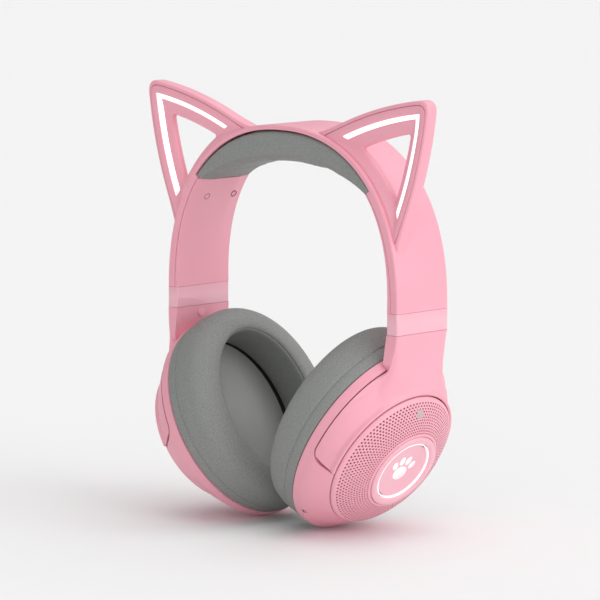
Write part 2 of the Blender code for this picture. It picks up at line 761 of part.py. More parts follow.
def face_pieces(name, side, parent):
    edge, inner = FACE_RADIUS - 0.5, LIGHT_RING_RADIUS + GAP
    radii = np.linspace(edge, inner, 5)
    profile = [(edge, edge, FACE_OUT)] + [(r, r, grille_top(r)) for r in radii]
    profile += [(r, r, grille_top(r) - GRILLE_THICK) for r in radii[:0:-1]]
    profile += [(FACE_RADIUS - 2.4, FACE_RADIUS - 2.4, FACE_OUT)]
    mesh_piece(f"grille_{name}", turned(profile, side, closed=True), PINK, parent)
    high = grille_top(inner) + 0.2
    low = SEAT_OUT + GAP
    bore = BADGE_RADIUS + GAP
    rings = [(bore, low), (LIGHT_RING_RADIUS, low), (LIGHT_RING_RADIUS, high), (bore, high)]
    ring = turned([(r, r, out) for r, out in rings], side, closed=True)
    mesh_piece(f"light_ring_{name}", ring, LIGHT, parent)
    top = high - BADGE_SUNK
    lens = [(BADGE_RADIUS, BADGE_RADIUS, out) for out in (top - BADGE_THICK, top)]
    mesh_piece(f"badge_lens_{name}", turned(lens, side), PINK_GLOSS, parent)


def rim_frame(turn_degrees, out):
    """A place on the cup's wall: the point, the tangent and the outward direction in cup axes."""
    turn = math.radians(turn_degrees)
    long, short, _ = cup_line(out)
    point = np.array([long * math.cos(turn), short * math.sin(turn), out])
    tangent = np.array([-long * math.sin(turn), short * math.cos(turn), 0])
    tangent /= np.linalg.norm(tangent)
    return point, tangent, np.cross(tangent, [0, 0, 1])


def wall_box(turn_degrees, out, length, height, near, far, side, radius):
    """A rounded box set in the wall, from a distance inside its surface to one outside it."""
    point, tangent, normal = rim_frame(turn_degrees, out)
    corners = (near, -length / 2, -height / 2), (far, length / 2, height / 2)
    points, faces = rounded_box(*corners, radius, 0)
    axes = np.stack([normal, tangent, [0, 0, 1]])
    return place(point + points @ axes, side), faces


CONTROLS = (("power_button", 221.0), ("volume_down_button", 236.0), ("volume_up_button", 250.0))
CONTROL_OUT = RIM_HEIGHT + 1.2
SOCKET_TURN = 203.0
MICROPHONE_TURN = 139.0
MICROPHONE_OUT = 6.6


def controls(side, parent, housing):
    """The three buttons of the left cup, each on an empty of its own, in holes with a gap all round."""
    for label, turn in CONTROLS:
        point, _, _ = rim_frame(turn, CONTROL_OUT)
        axis = axis_empty(f"{label}_axis", place([point], side)[0], parent)
        size = BUTTON_LENGTH, BUTTON_HEIGHT
        body = wall_box(turn, CONTROL_OUT, *size, -BUTTON_DEPTH, BUTTON_PROUD, side, 1.2)
        mesh_piece(label, body, PINK_GLOSS, axis)
        room = [length + 2 * GAP for length in size]
        hole = wall_box(turn, CONTROL_OUT, *room, -8.0, 8.0, side, 1.4)
        combine(housing, cutter(f"{label}_hole", hole, parent))


def electronics(side, parent, housing):
    """What else only the left cup holds: charging socket, microphone and main board."""
    size = SOCKET_WIDTH, SOCKET_HEIGHT
    socket = wall_box(SOCKET_TURN, CONTROL_OUT, *size, -SOCKET_DEPTH, -0.8, side, 1.4)
    shell = mesh_piece("usb_socket", socket, STEEL, parent)
    inner = [length - 2 * SOCKET_WALL for length in size]
    mouth = wall_box(SOCKET_TURN, CONTROL_OUT, *inner, 1.5 - SOCKET_DEPTH, 2.0, side, 0.9)
    combine(shell, cutter("usb_mouth", mouth, parent))
    room = [length + 2 * GAP for length in size]
    hole = wall_box(SOCKET_TURN, CONTROL_OUT, *room, -9.0, 9.0, side, 1.7)
    combine(housing, cutter("usb_hole", hole, parent))
    hole = wall_box(MICROPHONE_TURN, MICROPHONE_OUT, *MICROPHONE_SLOT, -7.0, 7.0, side, 0.75)
    combine(housing, cutter("microphone_hole", hole, parent))
    near = -(CORE_INSET + CUP_WALL + MICROPHONE_RADIUS + GAP)
    ends = near - MICROPHONE_DEPTH, near
    wide = 2 * MICROPHONE_RADIUS
    place_at = MICROPHONE_TURN, MICROPHONE_OUT
    capsule = wall_box(*place_at, wide, wide, *ends, side, MICROPHONE_RADIUS)
    mesh_piece("microphone", capsule, STEEL, parent)
    length, width, thick = BOARD_SIZE
    corners = (-length / 2, -width / 2, BOARD_OUT), (length / 2, width / 2, BOARD_OUT + thick)
    points, faces = rounded_box(*corners, 3.0, 2)
    mesh_piece("main_circuit_board", (place(points, side), faces), BOARD, parent)


def battery(side, parent):
    """A flat cell beside the driver's magnet, in the right cup."""
    length, width = BATTERY_SIZE
    near = MAGNET_RADIUS + 2.6
    base = DRIVER_OUT + DRIVER_FRAME + GAP
    corners = (near, -width / 2, base), (near + length, width / 2, FLOOR_OUT - BATTERY_CLEAR)
    points, faces = rounded_box(*corners, 1.5, 2)
    mesh_piece("battery", (place(points, side), faces), BLACK, parent)


# The cat ears, drawn on the plane x, z and given depth along y.


def circle_through(first, second, bulge):
    """Centre and radius of the arc between two points that stands out by the bulge to its left."""
    first, second = np.array(first), np.array(second)
    chord = second - first
    length = np.linalg.norm(chord)
    radius = (length**2 / 4 + bulge**2) / (2 * bulge)
    left = np.array([-chord[1], chord[0]]) / length
    return (first + second) / 2 - left * (radius - bulge), radius


def circles_meet(one, other, near):
    (a, r), (b, q) = one, other
    gap = np.linalg.norm(b - a)
    along = (gap**2 + r**2 - q**2) / (2 * gap)
    across = math.sqrt(max(r**2 - along**2, 0))
    way = (b - a) / gap
    normal = np.array([-way[1], way[0]])
    options = [a + way * along + sign * normal * across for sign in (1, -1)]
    return min(options, key=lambda point: np.linalg.norm(point - near))


def arc_points(circle, start, end, count):
    """Points on the circle from start to end by the shorter way, without the last one."""
    middle, radius = circle
    first = math.atan2(*(start - middle)[::-1])
    turn = (math.atan2(*(end - middle)[::-1]) - first + math.pi) % (2 * math.pi) - math.pi
    angles = first + turn * np.arange(count) / count
    return middle + radius * np.stack([np.cos(angles), np.sin(angles)], 1)


def ear_sides():
    """The circles of the top side, the outer side and the band under the ear, and its corners."""
    inner_foot = np.array(arch_at(EAR_FROM))
    outer_foot = np.array(arch_at(EAR_TO))
    middle = (EAR_FROM + EAR_TO) / 2
    root = np.array(arch_at(middle))
    way = root - np.array(arch_at(middle, 10.0))
    way /= np.linalg.norm(way)
    tip = root + way * EAR_REACH + np.array([-way[1], way[0]]) * EAR_TIP_SHIFT
    chord_middle = (inner_foot + outer_foot) / 2
    band = circle_through(inner_foot, outer_foot, np.linalg.norm(root - chord_middle))
    return {
        "top": circle_through(inner_foot, tip, EAR_BULGE),
        "outer": circle_through(tip, outer_foot, EAR_BULGE),
        "base": band,
        "inner_foot": inner_foot,
        "outer_foot": outer_foot,
        "tip": tip,
    }


EAR = ear_sides()


def grown(name, amount):
    middle, radius = EAR[name]
    return middle, radius + amount


def round_corner(before, corner, after, reach):
    """Points that round a corner: a quadratic curve between two points at a reach from it."""
    start = corner + (before - corner) * min(1, reach / np.linalg.norm(before - corner))
    end = corner + (after - corner) * min(1, reach / np.linalg.norm(after - corner))
    share = np.linspace(0, 1, 5)[:, None]
    return (1 - share) ** 2 * start + 2 * share * (1 - share) * corner + share**2 * end


def ear_triangle(top, outer, base, rounds):
    """The outline moved in from each side, with its tip and two feet rounded."""
    sides = [grown("top", -top), grown("outer", -outer), grown("base", base)]
    corners = [
        circles_meet(sides[2], sides[0], EAR["inner_foot"]),
        circles_meet(sides[0], sides[1], EAR["tip"]),
        circles_meet(sides[1], sides[2], EAR["outer_foot"]),
    ]
    outline = []
    for number, side in enumerate(sides):
        start, end = corners[number], corners[(number + 1) % 3]
        dense = arc_points(side, start, end, 60)
        dense = np.vstack([dense, end])
        lead = np.linalg.norm(dense - start, axis=1) > rounds[number]
        trail = np.linalg.norm(dense - end, axis=1) > rounds[(number + 1) % 3]
        kept = dense[lead & trail]
        kept = kept[np.linspace(0, len(kept) - 1, 9).round().astype(int)]
        outline.append(kept)
    points = []
    for number in range(3):
        points.append(outline[number])
        if rounds[(number + 1) % 3] > 0:
            following = outline[(number + 1) % 3]
            corner = corners[(number + 1) % 3]
            curve = round_corner(outline[number][-1], corner, following[0], rounds[(number + 1) % 3])
            points.append(curve[1:-1])
        else:
            points.append(corners[(number + 1) % 3][None])
    return np.vstack(points)


def ear_chevron(inset, width, foot):
    """A V along the top and outer sides: its two feet stop at a distance from the band."""
    base = grown("base", foot)
    ends = []
    for deep in (inset, inset + width):
        top, outer = grown("top", -deep), grown("outer", -deep)
        inner_foot = circles_meet(top, base, EAR["inner_foot"])
        tip = circles_meet(top, outer, EAR["tip"])
        outer_foot = circles_meet(outer, base, EAR["outer_foot"])
        rise, fall = arc_points(top, inner_foot, tip, 8), arc_points(outer, tip, outer_foot, 8)
        ends.append(np.vstack([rise, fall, outer_foot]))
    return np.vstack([ends[0], ends[1][::-1]])


def ear_prism(outline, side, front, back):
    x, z = side * outline[:, 0], outline[:, 1]
    return skin([np.stack([x, np.full(len(x), y), z], 1) for y in (front, back)])


def cat_ear(name, side):
    """A shell with a pocket, a front cover in it, and a V of light that shines through the cover."""
    front, back = EAR_FRONT, EAR_FRONT + EAR_DEPTH

    def ear_cutter(label, outline, low, high):
        return cutter(f"ear_{label}_{name}", ear_prism(outline, side, low, high))

    hole = ear_triangle(EAR_TOP_SIDE, EAR_OUTER_SIDE, EAR_BASE_SIDE, (3.0, 3.0, 3.0))
    hole_cut = ear_cutter("hole", hole, front - 5, back + 5)
    stations = side * stations_between(EAR_FROM - 18, min(EAR_TO + 18, ARCH_HALF), 3.0)
    band = sweep(stations, flat_section(HALF_DEPTH + 4, -GAP, 12.0))
    band_cut = cutter(f"ear_band_{name}", band)

    outline = ear_triangle(0, 0, -4.0, (0, EAR_TIP_ROUND, 0))
    shell = mesh_piece(f"ear_shell_{name}", ear_prism(outline, side, front, back), PINK, None)
    tip_round = EAR_TIP_ROUND - EAR_RIM
    pocket = ear_triangle(EAR_RIM, EAR_RIM, EAR_BASE_RIM, (0, tip_round, 0))
    pocket_back = front + BEZEL_THICK + GAP
    wide = LIGHT_WIDTH + 2 * LIGHT_SHOULDER
    near, foot = LIGHT_INSET - LIGHT_SHOULDER, LIGHT_FOOT - 1.0
    channel = ear_chevron(near, wide, foot)
    pocket_cut = ear_cutter("pocket", pocket, front - 5, pocket_back)
    channel_cut = ear_cutter("channel", channel, front + 0.5, pocket_back + BOARD_THICK + GAP)
    for cut in (band_cut, hole_cut, pocket_cut, channel_cut):
        combine(shell, cut)

    rim = EAR_RIM + GAP
    cover = ear_triangle(rim, rim, EAR_BASE_RIM + GAP, (0, tip_round, 0))
    body = ear_prism(cover, side, front, front + BEZEL_THICK)
    bezel = mesh_piece(f"ear_bezel_{name}", body, PINK, None)
    slot = ear_chevron(LIGHT_INSET - GAP, LIGHT_WIDTH + 2 * GAP, LIGHT_FOOT - GAP)
    combine(bezel, hole_cut)
    combine(bezel, ear_cutter("slot", slot, front - 5, front + 5))

    light = ear_chevron(LIGHT_INSET, LIGHT_WIDTH, LIGHT_FOOT)
    body = ear_prism(light, side, front + 0.1, front + BEZEL_THICK)
    mesh_piece(f"ear_diffuser_{name}", body, LIGHT, None)
    board = ear_chevron(near + GAP, wide - 2 * GAP, foot + GAP)
    body = ear_prism(board, side, pocket_back, pocket_back + BOARD_THICK)
    mesh_piece(f"ear_light_board_{name}", body, BOARD, None)


def build():
    clear_scene()
    headband_outer_shell()
    headband_spring()
    headband_pad()
    for name, side in (("left", 1), ("right", -1)):
        headband_inner_cover(name, side)
        slider_guide(name, side)
        cat_ear(name, side)
        slider = axis_empty(f"slider_axis_{name}", (side * RAIL_FOOT[0], 0, RAIL_FOOT[1]))
        slider_rail(name, side, slider)
        slider_collar(name, side, slider)
        slider_screw(name, side, slider)
        fork = yoke(name, side, slider)
        pivot = place([(PIVOT_LONG, 0, PIVOT_OUT)], side)[0]
        cup = axis_empty(f"cup_axis_{name}", pivot, slider)
        housing = cup_housing(name, side, cup)
        pivot_pins(name, side, cup, fork)
        ear_cushion(name, side, cup)
        driver_pieces(name, side, cup)
        face_pieces(name, side, cup)
        if side > 0:
            controls(side, cup, housing)
            electronics(side, cup, housing)
        else:
            battery(side, cup)


build()
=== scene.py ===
# %% [markdown]
# # An over-ear gaming headset with cat ears
# The real object is a sprung plastic band with a soft pad, two sliders, two forks that hold tilting
# cups, and a lit cat ear on each shoulder of the band. The frame holds the plain solids and the
# joints. This lesson adds the finished surfaces over it, piece by piece.

# %% Load the frame
import math

import bmesh
import bpy
import mathutils
import numpy as np
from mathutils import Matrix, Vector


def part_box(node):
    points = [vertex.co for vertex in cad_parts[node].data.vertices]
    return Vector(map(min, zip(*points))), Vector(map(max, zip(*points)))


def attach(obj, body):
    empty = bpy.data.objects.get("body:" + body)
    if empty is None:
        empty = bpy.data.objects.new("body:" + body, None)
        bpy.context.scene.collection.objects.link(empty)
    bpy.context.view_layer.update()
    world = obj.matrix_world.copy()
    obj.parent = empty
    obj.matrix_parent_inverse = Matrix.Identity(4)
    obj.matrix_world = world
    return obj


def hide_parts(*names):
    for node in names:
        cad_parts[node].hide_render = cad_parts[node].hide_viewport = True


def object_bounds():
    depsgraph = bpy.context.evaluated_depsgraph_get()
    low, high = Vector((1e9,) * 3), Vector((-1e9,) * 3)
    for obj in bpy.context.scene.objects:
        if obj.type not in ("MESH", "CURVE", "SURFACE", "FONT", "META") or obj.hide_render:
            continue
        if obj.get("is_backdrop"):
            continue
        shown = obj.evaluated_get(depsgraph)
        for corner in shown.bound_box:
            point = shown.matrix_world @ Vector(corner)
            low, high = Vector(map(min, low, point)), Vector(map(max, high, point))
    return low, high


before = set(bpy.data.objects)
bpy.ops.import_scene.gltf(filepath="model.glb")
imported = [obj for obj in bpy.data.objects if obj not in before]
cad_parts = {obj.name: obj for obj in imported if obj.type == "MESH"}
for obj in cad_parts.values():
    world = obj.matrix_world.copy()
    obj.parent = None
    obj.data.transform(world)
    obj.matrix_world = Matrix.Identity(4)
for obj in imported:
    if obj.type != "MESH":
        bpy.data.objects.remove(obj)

CAD_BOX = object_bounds()

# %% [markdown]
# ## The numbers the surfaces share
# The finished surfaces have to lie where the solids lie, so a few sizes of the solids are written
# again here, in millimetres. The band's outer line, seen from the front, is a superellipse: fuller
# than an ellipse, as sprung bands are. Each cup has its own three directions: along its long axis,
# along its short axis, and out from the head.

# %% Sizes of the solids, in millimetres
BAND_HALF, BAND_RISE, BAND_POWER = 79.0, 87.7, 2.26
END_Z = -70.0
HALF_DEPTH, BAND_THICK, BAND_ROUND = 18.1, 7.0, 1.2
SHELL_WALL, LIP, COVER_AT, GAP = 1.8, 2.5, 5.0, 0.3
PAD_HALF = 70.0
YOKE_TOP = -80.8
RIM_LONG, RIM_SHORT, RIM_HEIGHT, CUP_DEPTH, FACE_RADIUS = 53.1, 45.1, 5.4, 18.0, 38.6
CUP_MIDDLE = np.array([44.0032, -1.4, -136.2184])
CUP_AXES = np.array([
    [0.4949731, 0.0627905, 0.8666366],
    [0.0311411, -0.9980267, 0.0545242],
    [0.8683501, 0.0, -0.4959518],
])
GAP_OUT = 6.3
SIDES = (("left", 1), ("right", -1))
low, high = (np.array(corner) * 1000 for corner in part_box("headband_outer_shell"))
print("band solid", np.round(high - low, 1), "and from these numbers", 2 * BAND_HALF, BAND_RISE)


# %% [markdown]
# ## From a grid of points to a piece
# Most pieces here are a grid of points: one parameter runs along the piece and the other round its
# section. numpy works out all points at once, quads join neighbours, and the signed volume tells
# whether the faces look outwards. A negative volume means inside out, so the faces are turned.

# %% Grid and piece helpers
SHARP = 38


def grid_faces(rows, columns, close_rows=False, close_columns=False):
    """Quads between neighbouring points of a grid; a closed direction joins its last line to its first."""
    number = np.arange(rows * columns).reshape(rows, columns)
    r = np.arange(rows if close_rows else rows - 1)[:, None]
    c = np.arange(columns if close_columns else columns - 1)[None, :]
    corners = ((r, c), (r + 1, c), (r + 1, c + 1), (r, c + 1))
    return np.stack([number[a % rows, b % columns] for a, b in corners], -1).reshape(-1, 4)


def signed_volume(points, faces):
    """Sum over fans of triangles of the tetrahedra they make with the origin."""
    total = 0.0
    for count in sorted({len(face) for face in faces}):
        block = np.array([face for face in faces if len(face) == count])
        for step in range(1, count - 1):
            a, b, c = (points[block[:, k]] for k in (0, step, step + 1))
            total += np.einsum("ij,ij->", a, np.cross(b, c)) / 6
    return total


def shade(mesh, sharp):
    """Smooth shading, but for edges that bend by more than an angle in degrees."""
    mesh.shade_smooth()
    mesh.set_sharp_from_angle(angle=math.radians(sharp))


def make_piece(name, points, faces, look, body, slot, replaces=(), sharp=SHARP, weld=False):
    """An object at the origin from points in millimetres, riding on its body."""
    points = np.asarray(points, float).reshape(-1, 3)
    faces = [list(map(int, face)) for face in faces]
    if signed_volume(points, faces) < 0:
        faces = [face[::-1] for face in faces]
    mesh = bpy.data.meshes.new(name)
    mesh.from_pydata((points * 0.001).tolist(), [], faces)
    if weld:
        welded = bmesh.new()
        welded.from_mesh(mesh)
        bmesh.ops.remove_doubles(welded, verts=welded.verts, dist=2e-6)
        bmesh.ops.dissolve_degenerate(welded, edges=welded.edges, dist=1e-6)
        bmesh.ops.recalc_face_normals(welded, faces=welded.faces)
        welded.to_mesh(mesh)
        welded.free()
    shade(mesh, sharp)
    mesh.materials.append(look)
    made = bpy.data.objects.new(name, mesh)
    bpy.context.scene.collection.objects.link(made)
    if body:
        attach(made, body)
    if replaces:
        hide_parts(*replaces)
    return made


def loft(rings, close_rows=False):
    """Points and faces of closed rings joined one to the next, with flat ends unless it is closed."""
    rings = np.asarray(rings, float)
    rows, columns = rings.shape[:2]
    faces = grid_faces(rows, columns, close_rows, True).tolist()
    if not close_rows:
        faces += [list(range(columns)), list(range((rows - 1) * columns, rows * columns))]
    return rings.reshape(-1, 3), faces


def arc(middle, radius, start, stop, count):
    """Points on a circle between two angles in degrees."""
    turn = np.radians(np.linspace(start, stop, count))
    return np.stack([middle[0] + radius * np.cos(turn), middle[1] + radius * np.sin(turn)], -1)


def smooth_step(value):
    """0 below 0 and 1 above 1, with a soft S between."""
    value = np.clip(value, 0, 1)
    return value * value * (3 - 2 * value)


def mirrored(points, side):
    return np.asarray(points, float) * [side, 1, 1]


def paired_piece(label, shape, side, look, body, slot, replaced, **more):
    """One of two mirrored pieces, from the points and faces of the left one."""
    name = "left" if side > 0 else "right"
    points, faces = shape
    body = body if body == "headband" else f"{body}_{name}"
    return make_piece(f"{label}_{name}", mirrored(points, side), faces, look, body, slot,
                      [f"{replaced}_{name}"], **more)


# %% [markdown]
# ## Finishes
# The shell is satin pink plastic: a very fine spark-eroded grain from the mould, and colour that
# drifts a little over the surface. The collars and the badge are the same pink, polished. The pads
# are pebbled leatherette. Each shared effect is a node group that gives out only what varies: a
# colour, a roughness, a height. The constants stay on the shader itself.

# %% Node helpers
def feed(tree, socket, value):
    """Links a socket to another node's output, or sets it to a plain value."""
    if isinstance(value, bpy.types.NodeSocket):
        tree.links.new(value, socket)
    else:
        socket.default_value = value


def add(tree, kind, inputs=None, **settings):
    """A node with settings, and its inputs linked or set."""
    node = tree.nodes.new(kind)
    for key, value in settings.items():
        setattr(node, key, value)
    for key, value in (inputs or {}).items():
        feed(tree, node.inputs[key], value)
    return node


def object_coordinates(tree):
    return add(tree, "ShaderNodeTexCoord").outputs["Object"]


def noise(tree, coords, scale, detail=3.0, rough=0.5, out="Fac"):
    values = {"Vector": coords, "Scale": scale, "Detail": detail, "Roughness": rough}
    return add(tree, "ShaderNodeTexNoise", values).outputs[out]


def ramp(tree, value, low, high, out_low=0.0, out_high=1.0):
    """A value stretched from one range to another and kept inside it."""
    inputs = {"Value": value, "From Min": low, "From Max": high, "To Min": out_low, "To Max": out_high}
    return add(tree, "ShaderNodeMapRange", inputs).outputs["Result"]


def mix_colour(tree, share, first, second):
    return add(tree, "ShaderNodeMix", {0: share, 6: first, 7: second}, data_type="RGBA").outputs[2]


def math_node(tree, operation, first, second=0.0):
    return add(tree, "ShaderNodeMath", {0: first, 1: second}, operation=operation).outputs[0]


def new_group(name, colour, deep_colour, **numbers):
    """An empty group with two colours and some numbers as inputs; gives its inputs and coordinates."""
    group = bpy.data.node_groups.new(name, "ShaderNodeTree")
    inputs = {"Color": colour, "Deep Color": deep_colour, **numbers}
    for label, value in inputs.items():
        kind = "Float" if isinstance(value, float) else "Color"
        label = label.replace("_", " ").title()
        socket = group.interface.new_socket(label, in_out="INPUT", socket_type="NodeSocket" + kind)
        socket.default_value = value if kind == "Float" else (*value, 1)
    for label, kind in (("Color", "Color"), ("Roughness", "Float"), ("Height", "Float")):
        group.interface.new_socket(label, in_out="OUTPUT", socket_type="NodeSocket" + kind)
    return group, group.nodes.new("NodeGroupInput").outputs, object_coordinates(group)


def end_group(group, colour, rough, height):
    """Links the three results of a group to its outputs."""
    add(group, "NodeGroupOutput", {"Color": colour, "Roughness": rough, "Height": height})
    return group


# %% Moulded plastic: grain, drift of colour, handling marks and a trace of dust on top
def plastic_group():
    numbers = {"base_roughness": 0.4, "roughness_spread": 0.08, "grain_size": 3200.0}
    group, given, coords = new_group("moulded_plastic", (0.8, 0.4, 0.5), (0.7, 0.3, 0.4), **numbers)
    drift = noise(group, coords, 26.0, 2.0)
    speck = noise(group, coords, given["Grain Size"], 2.0)
    smudge = noise(group, coords, 90.0, 5.0, 0.62)
    colour = mix_colour(group, ramp(group, drift, 0.35, 0.7), given["Color"], given["Deep Color"])
    normal = add(group, "ShaderNodeNewGeometry").outputs["Normal"]
    upward = add(group, "ShaderNodeSeparateXYZ", {"Vector": normal}).outputs["Z"]
    patches = ramp(group, smudge, 0.45, 0.8, 0.0, 0.12)
    dust = math_node(group, "MULTIPLY", ramp(group, upward, 0.55, 1.0), patches)
    colour = mix_colour(group, dust, colour, (0.93, 0.86, 0.87, 1))
    change = ramp(group, smudge, 0.3, 0.7, -0.5, 0.5)
    spread = math_node(group, "MULTIPLY", change, given["Roughness Spread"])
    return end_group(group, colour, math_node(group, "ADD", given["Base Roughness"], spread), speck)


# %% Leatherette: pebbles, pores and soft creases
def leather_group():
    group, given, coords = new_group("pebbled_leatherette", (0.314, 0.327, 0.317), (0.215, 0.222, 0.215),
                                     pebble_size=1500.0)
    bend = noise(group, coords, 500.0, 2.0, out="Color")
    offset = add(group, "ShaderNodeVectorMath", {0: bend, "Scale": 0.0004}, operation="SCALE").outputs[0]
    moved = add(group, "ShaderNodeVectorMath", {0: coords, 1: offset}, operation="ADD").outputs[0]
    pebble = add(group, "ShaderNodeTexVoronoi", {"Vector": moved, "Scale": given["Pebble Size"]},
                 feature="DISTANCE_TO_EDGE")
    valley = ramp(group, pebble.outputs["Distance"], 0.0, 0.22)
    crease = noise(group, coords, 120.0, 4.0, 0.55)
    tone = noise(group, coords, 18.0, 3.0)
    share = math_node(group, "MULTIPLY", valley, ramp(group, tone, 0.3, 0.7, 0.78, 1.0))
    colour = mix_colour(group, share, given["Deep Color"], given["Color"])
    height = math_node(group, "ADD", valley, math_node(group, "MULTIPLY", crease, 0.8))
    return end_group(group, colour, ramp(group, valley, 0.0, 1.0, 0.72, 0.5), height)


# %% Fine knit: two crossed waves that swap over and under
def knit_group():
    group, given, coords = new_group("fine_knit", (0.2, 0.2, 0.2), (0.05, 0.05, 0.05), thread_size=900.0)
    values = {"Vector": coords, "Scale": given["Thread Size"], "Distortion": 0.6, "Detail": 1.0}
    waves = [add(group, "ShaderNodeTexWave", values, bands_direction=direction).outputs["Fac"]
             for direction in ("Y", "Z")]
    height = math_node(group, "MULTIPLY", *waves)
    fuzz = noise(group, coords, 2500.0, 2.0)
    share = math_node(group, "MULTIPLY", height, ramp(group, fuzz, 0.2, 0.8, 0.6, 1.0))
    colour = mix_colour(group, share, given["Deep Color"], given["Color"])
    return end_group(group, colour, ramp(group, fuzz, 0.2, 0.8, 0.85, 0.98), height)


GROUPS = {"plastic": plastic_group(), "leather": leather_group(), "knit": knit_group()}
print("node groups:", ", ".join(group.name for group in GROUPS.values()))


# %% One material from a group and the shader's own constants
def new_material(name):
    """A material, its node tree and its shader."""
    made = bpy.data.materials.new(name)
    made.use_nodes = True
    return made, made.node_tree, made.node_tree.nodes["Principled BSDF"]


def finish_material(name, group, values, bump, **shader_values):
    """A Principled material whose colour, roughness and bump come from a group."""
    made, tree, shader = new_material(name)
    effect = tree.nodes.new("ShaderNodeGroup")
    effect.node_tree = GROUPS[group]
    for label, value in values.items():
        effect.inputs[label].default_value = value
    strength, distance = bump
    values = {"Height": effect.outputs["Height"], "Strength": strength, "Distance": distance}
    raised = add(tree, "ShaderNodeBump", values).outputs["Normal"]
    results = {"Base Color": effect.outputs["Color"], "Roughness": effect.outputs["Roughness"], "Normal": raised}
    for label, source in results.items():
        tree.links.new(source, shader.inputs[label])
    for label, value in shader_values.items():
        shader.inputs[label.replace("_", " ").title()].default_value = value
    return made


def plastic(name, colour, deep, rough, spread=0.08, bump=(0.12, 0.00002), **more):
    values = {"Color": (*colour, 1), "Deep Color": (*deep, 1), "Base Roughness": rough,
              "Roughness Spread": spread}
    return finish_material(name, "plastic", values, bump, **more)


def glowing(name, colour, strength):
    """White light guide: the glow varies a little along the strip."""
    made, tree, shader = new_material(name)
    cloud = noise(tree, object_coordinates(tree), 60.0)
    tint = mix_colour(tree, ramp(tree, cloud, 0.3, 0.7), (*colour, 1), (1, 1, 1, 1))
    for label, source in (("Emission Color", tint), ("Base Color", tint),
                          ("Roughness", ramp(tree, cloud, 0.0, 1.0, 0.2, 0.35))):
        tree.links.new(source, shader.inputs[label])
    shader.inputs["Emission Strength"].default_value = strength
    return made


# %% The materials
PINK = plastic("satin_pink_plastic", (0.91, 0.405, 0.495), (0.89, 0.385, 0.475), 0.42)
PINK_GLOSS = plastic("polished_pink_plastic", (0.90, 0.47, 0.555), (0.88, 0.45, 0.535), 0.14, 0.04,
                     (0.03, 0.00001), coat_weight=0.6, coat_roughness=0.05)
PINK_GRILLE = plastic("perforated_pink_plastic", (0.91, 0.43, 0.52), (0.89, 0.41, 0.50), 0.36)
BLACK = plastic("black_moulded_plastic", (0.035, 0.033, 0.035), (0.025, 0.024, 0.026), 0.5)
# Dark plum: the microphone's gauze cloth, and painted shade under the grille's holes, in the gap round the fork
# and round the cover plugs.
PLUM_CLOTH_AND_SHADE = plastic("plum_cloth_and_painted_shade", (0.085, 0.018, 0.032), (0.06, 0.012, 0.022), 0.9, bump=(0.4, 0.0001))
WINDOW = plastic("smoky_sensor_window", (0.60, 0.46, 0.47), (0.52, 0.40, 0.41), 0.2)
BOARD = plastic("green_circuit_board", (0.03, 0.17, 0.07), (0.02, 0.12, 0.05), 0.45)
STEEL = plastic("brushed_spring_steel", (0.60, 0.61, 0.62), (0.50, 0.51, 0.53), 0.32, 0.2, metallic=1.0)
LEATHER = finish_material("grey_leatherette", "leather", {}, (0.35, 0.00012))
# The knit is the same grey as the cushions, but its greys here are set lighter: painted light that makes up for
# the shade inside the hollow.
KNIT_COLOURS_PAINTED_LIGHTER = {"Color": (0.66, 0.675, 0.665, 1), "Deep Color": (0.36, 0.37, 0.36, 1)}
KNIT = finish_material("grey_acoustic_knit", "knit", KNIT_COLOURS_PAINTED_LIGHTER, (0.4, 0.0001))
LIGHT = glowing("white_light_guide", (0.97, 0.97, 1.0), 1.1)
GLOW = glowing("soft_badge_glow", (0.98, 0.86, 0.88), 0.45)
MARK = glowing("faint_badge_mark", (0.90, 0.70, 0.74), 0.14)
print("materials:", len(bpy.data.materials))


# %% [markdown]
# ## The band
# The outer half of the band is a shell that bends over the head: a channel, open to the head, with
# rounded shoulders. It is one section carried along the superellipse. The section is given as
# distances across the band and depths below its outer line, so the same shape follows the bend.

# %% The band's line, and sections carried along it
turn = np.linspace(0, math.pi / 2, 6000)
ARCH_X = BAND_HALF * np.sin(turn) ** (2 / BAND_POWER)
ARCH_Z = END_Z + BAND_RISE * np.cos(turn) ** (2 / BAND_POWER)
ARCH_S = np.concatenate([[0], np.cumsum(np.hypot(np.diff(ARCH_X), np.diff(ARCH_Z)))])
ARCH_HALF = ARCH_S[-1]
print("band line:", round(2 * ARCH_HALF, 1), "mm long")


def arch_at(along, depth=0.0):
    """(x, z) at a distance from the crown, moved in by the depth along the line's normal."""
    reach, step = np.abs(along), 0.5
    before, after = np.maximum(reach - step, 0), np.minimum(reach + step, ARCH_HALF)
    dx = np.interp(after, ARCH_S, ARCH_X) - np.interp(before, ARCH_S, ARCH_X)
    dz = np.where(reach < step, 0.0, np.interp(after, ARCH_S, ARCH_Z) - np.interp(before, ARCH_S, ARCH_Z))
    length = np.hypot(dx, dz)
    side = np.where(np.asarray(along) < 0, -1.0, 1.0)
    x, z = np.interp(reach, ARCH_S, ARCH_X), np.interp(reach, ARCH_S, ARCH_Z)
    return side * (x + depth * dz / length), z - depth * dx / length


def deeper_behind(across):
    """The band reaches a little further to the rear than to the front."""
    return np.where(across > 0, across * 1.085, across)


def along_band(stations, section):
    """Rings along the band: section(distance) gives rows of (across, depth)."""
    rings = []
    for along in stations:
        outline = np.asarray(section(along), float)
        x, z = arch_at(along, outline[:, 1])
        rings.append(np.stack([x, deeper_behind(outline[:, 0]), z], 1))
    return np.array(rings)


def symmetric(half):
    """A section's whole loop from the half with positive across."""
    half = np.asarray(half, float)
    return np.vstack([half * [-1, 1], half[::-1]])


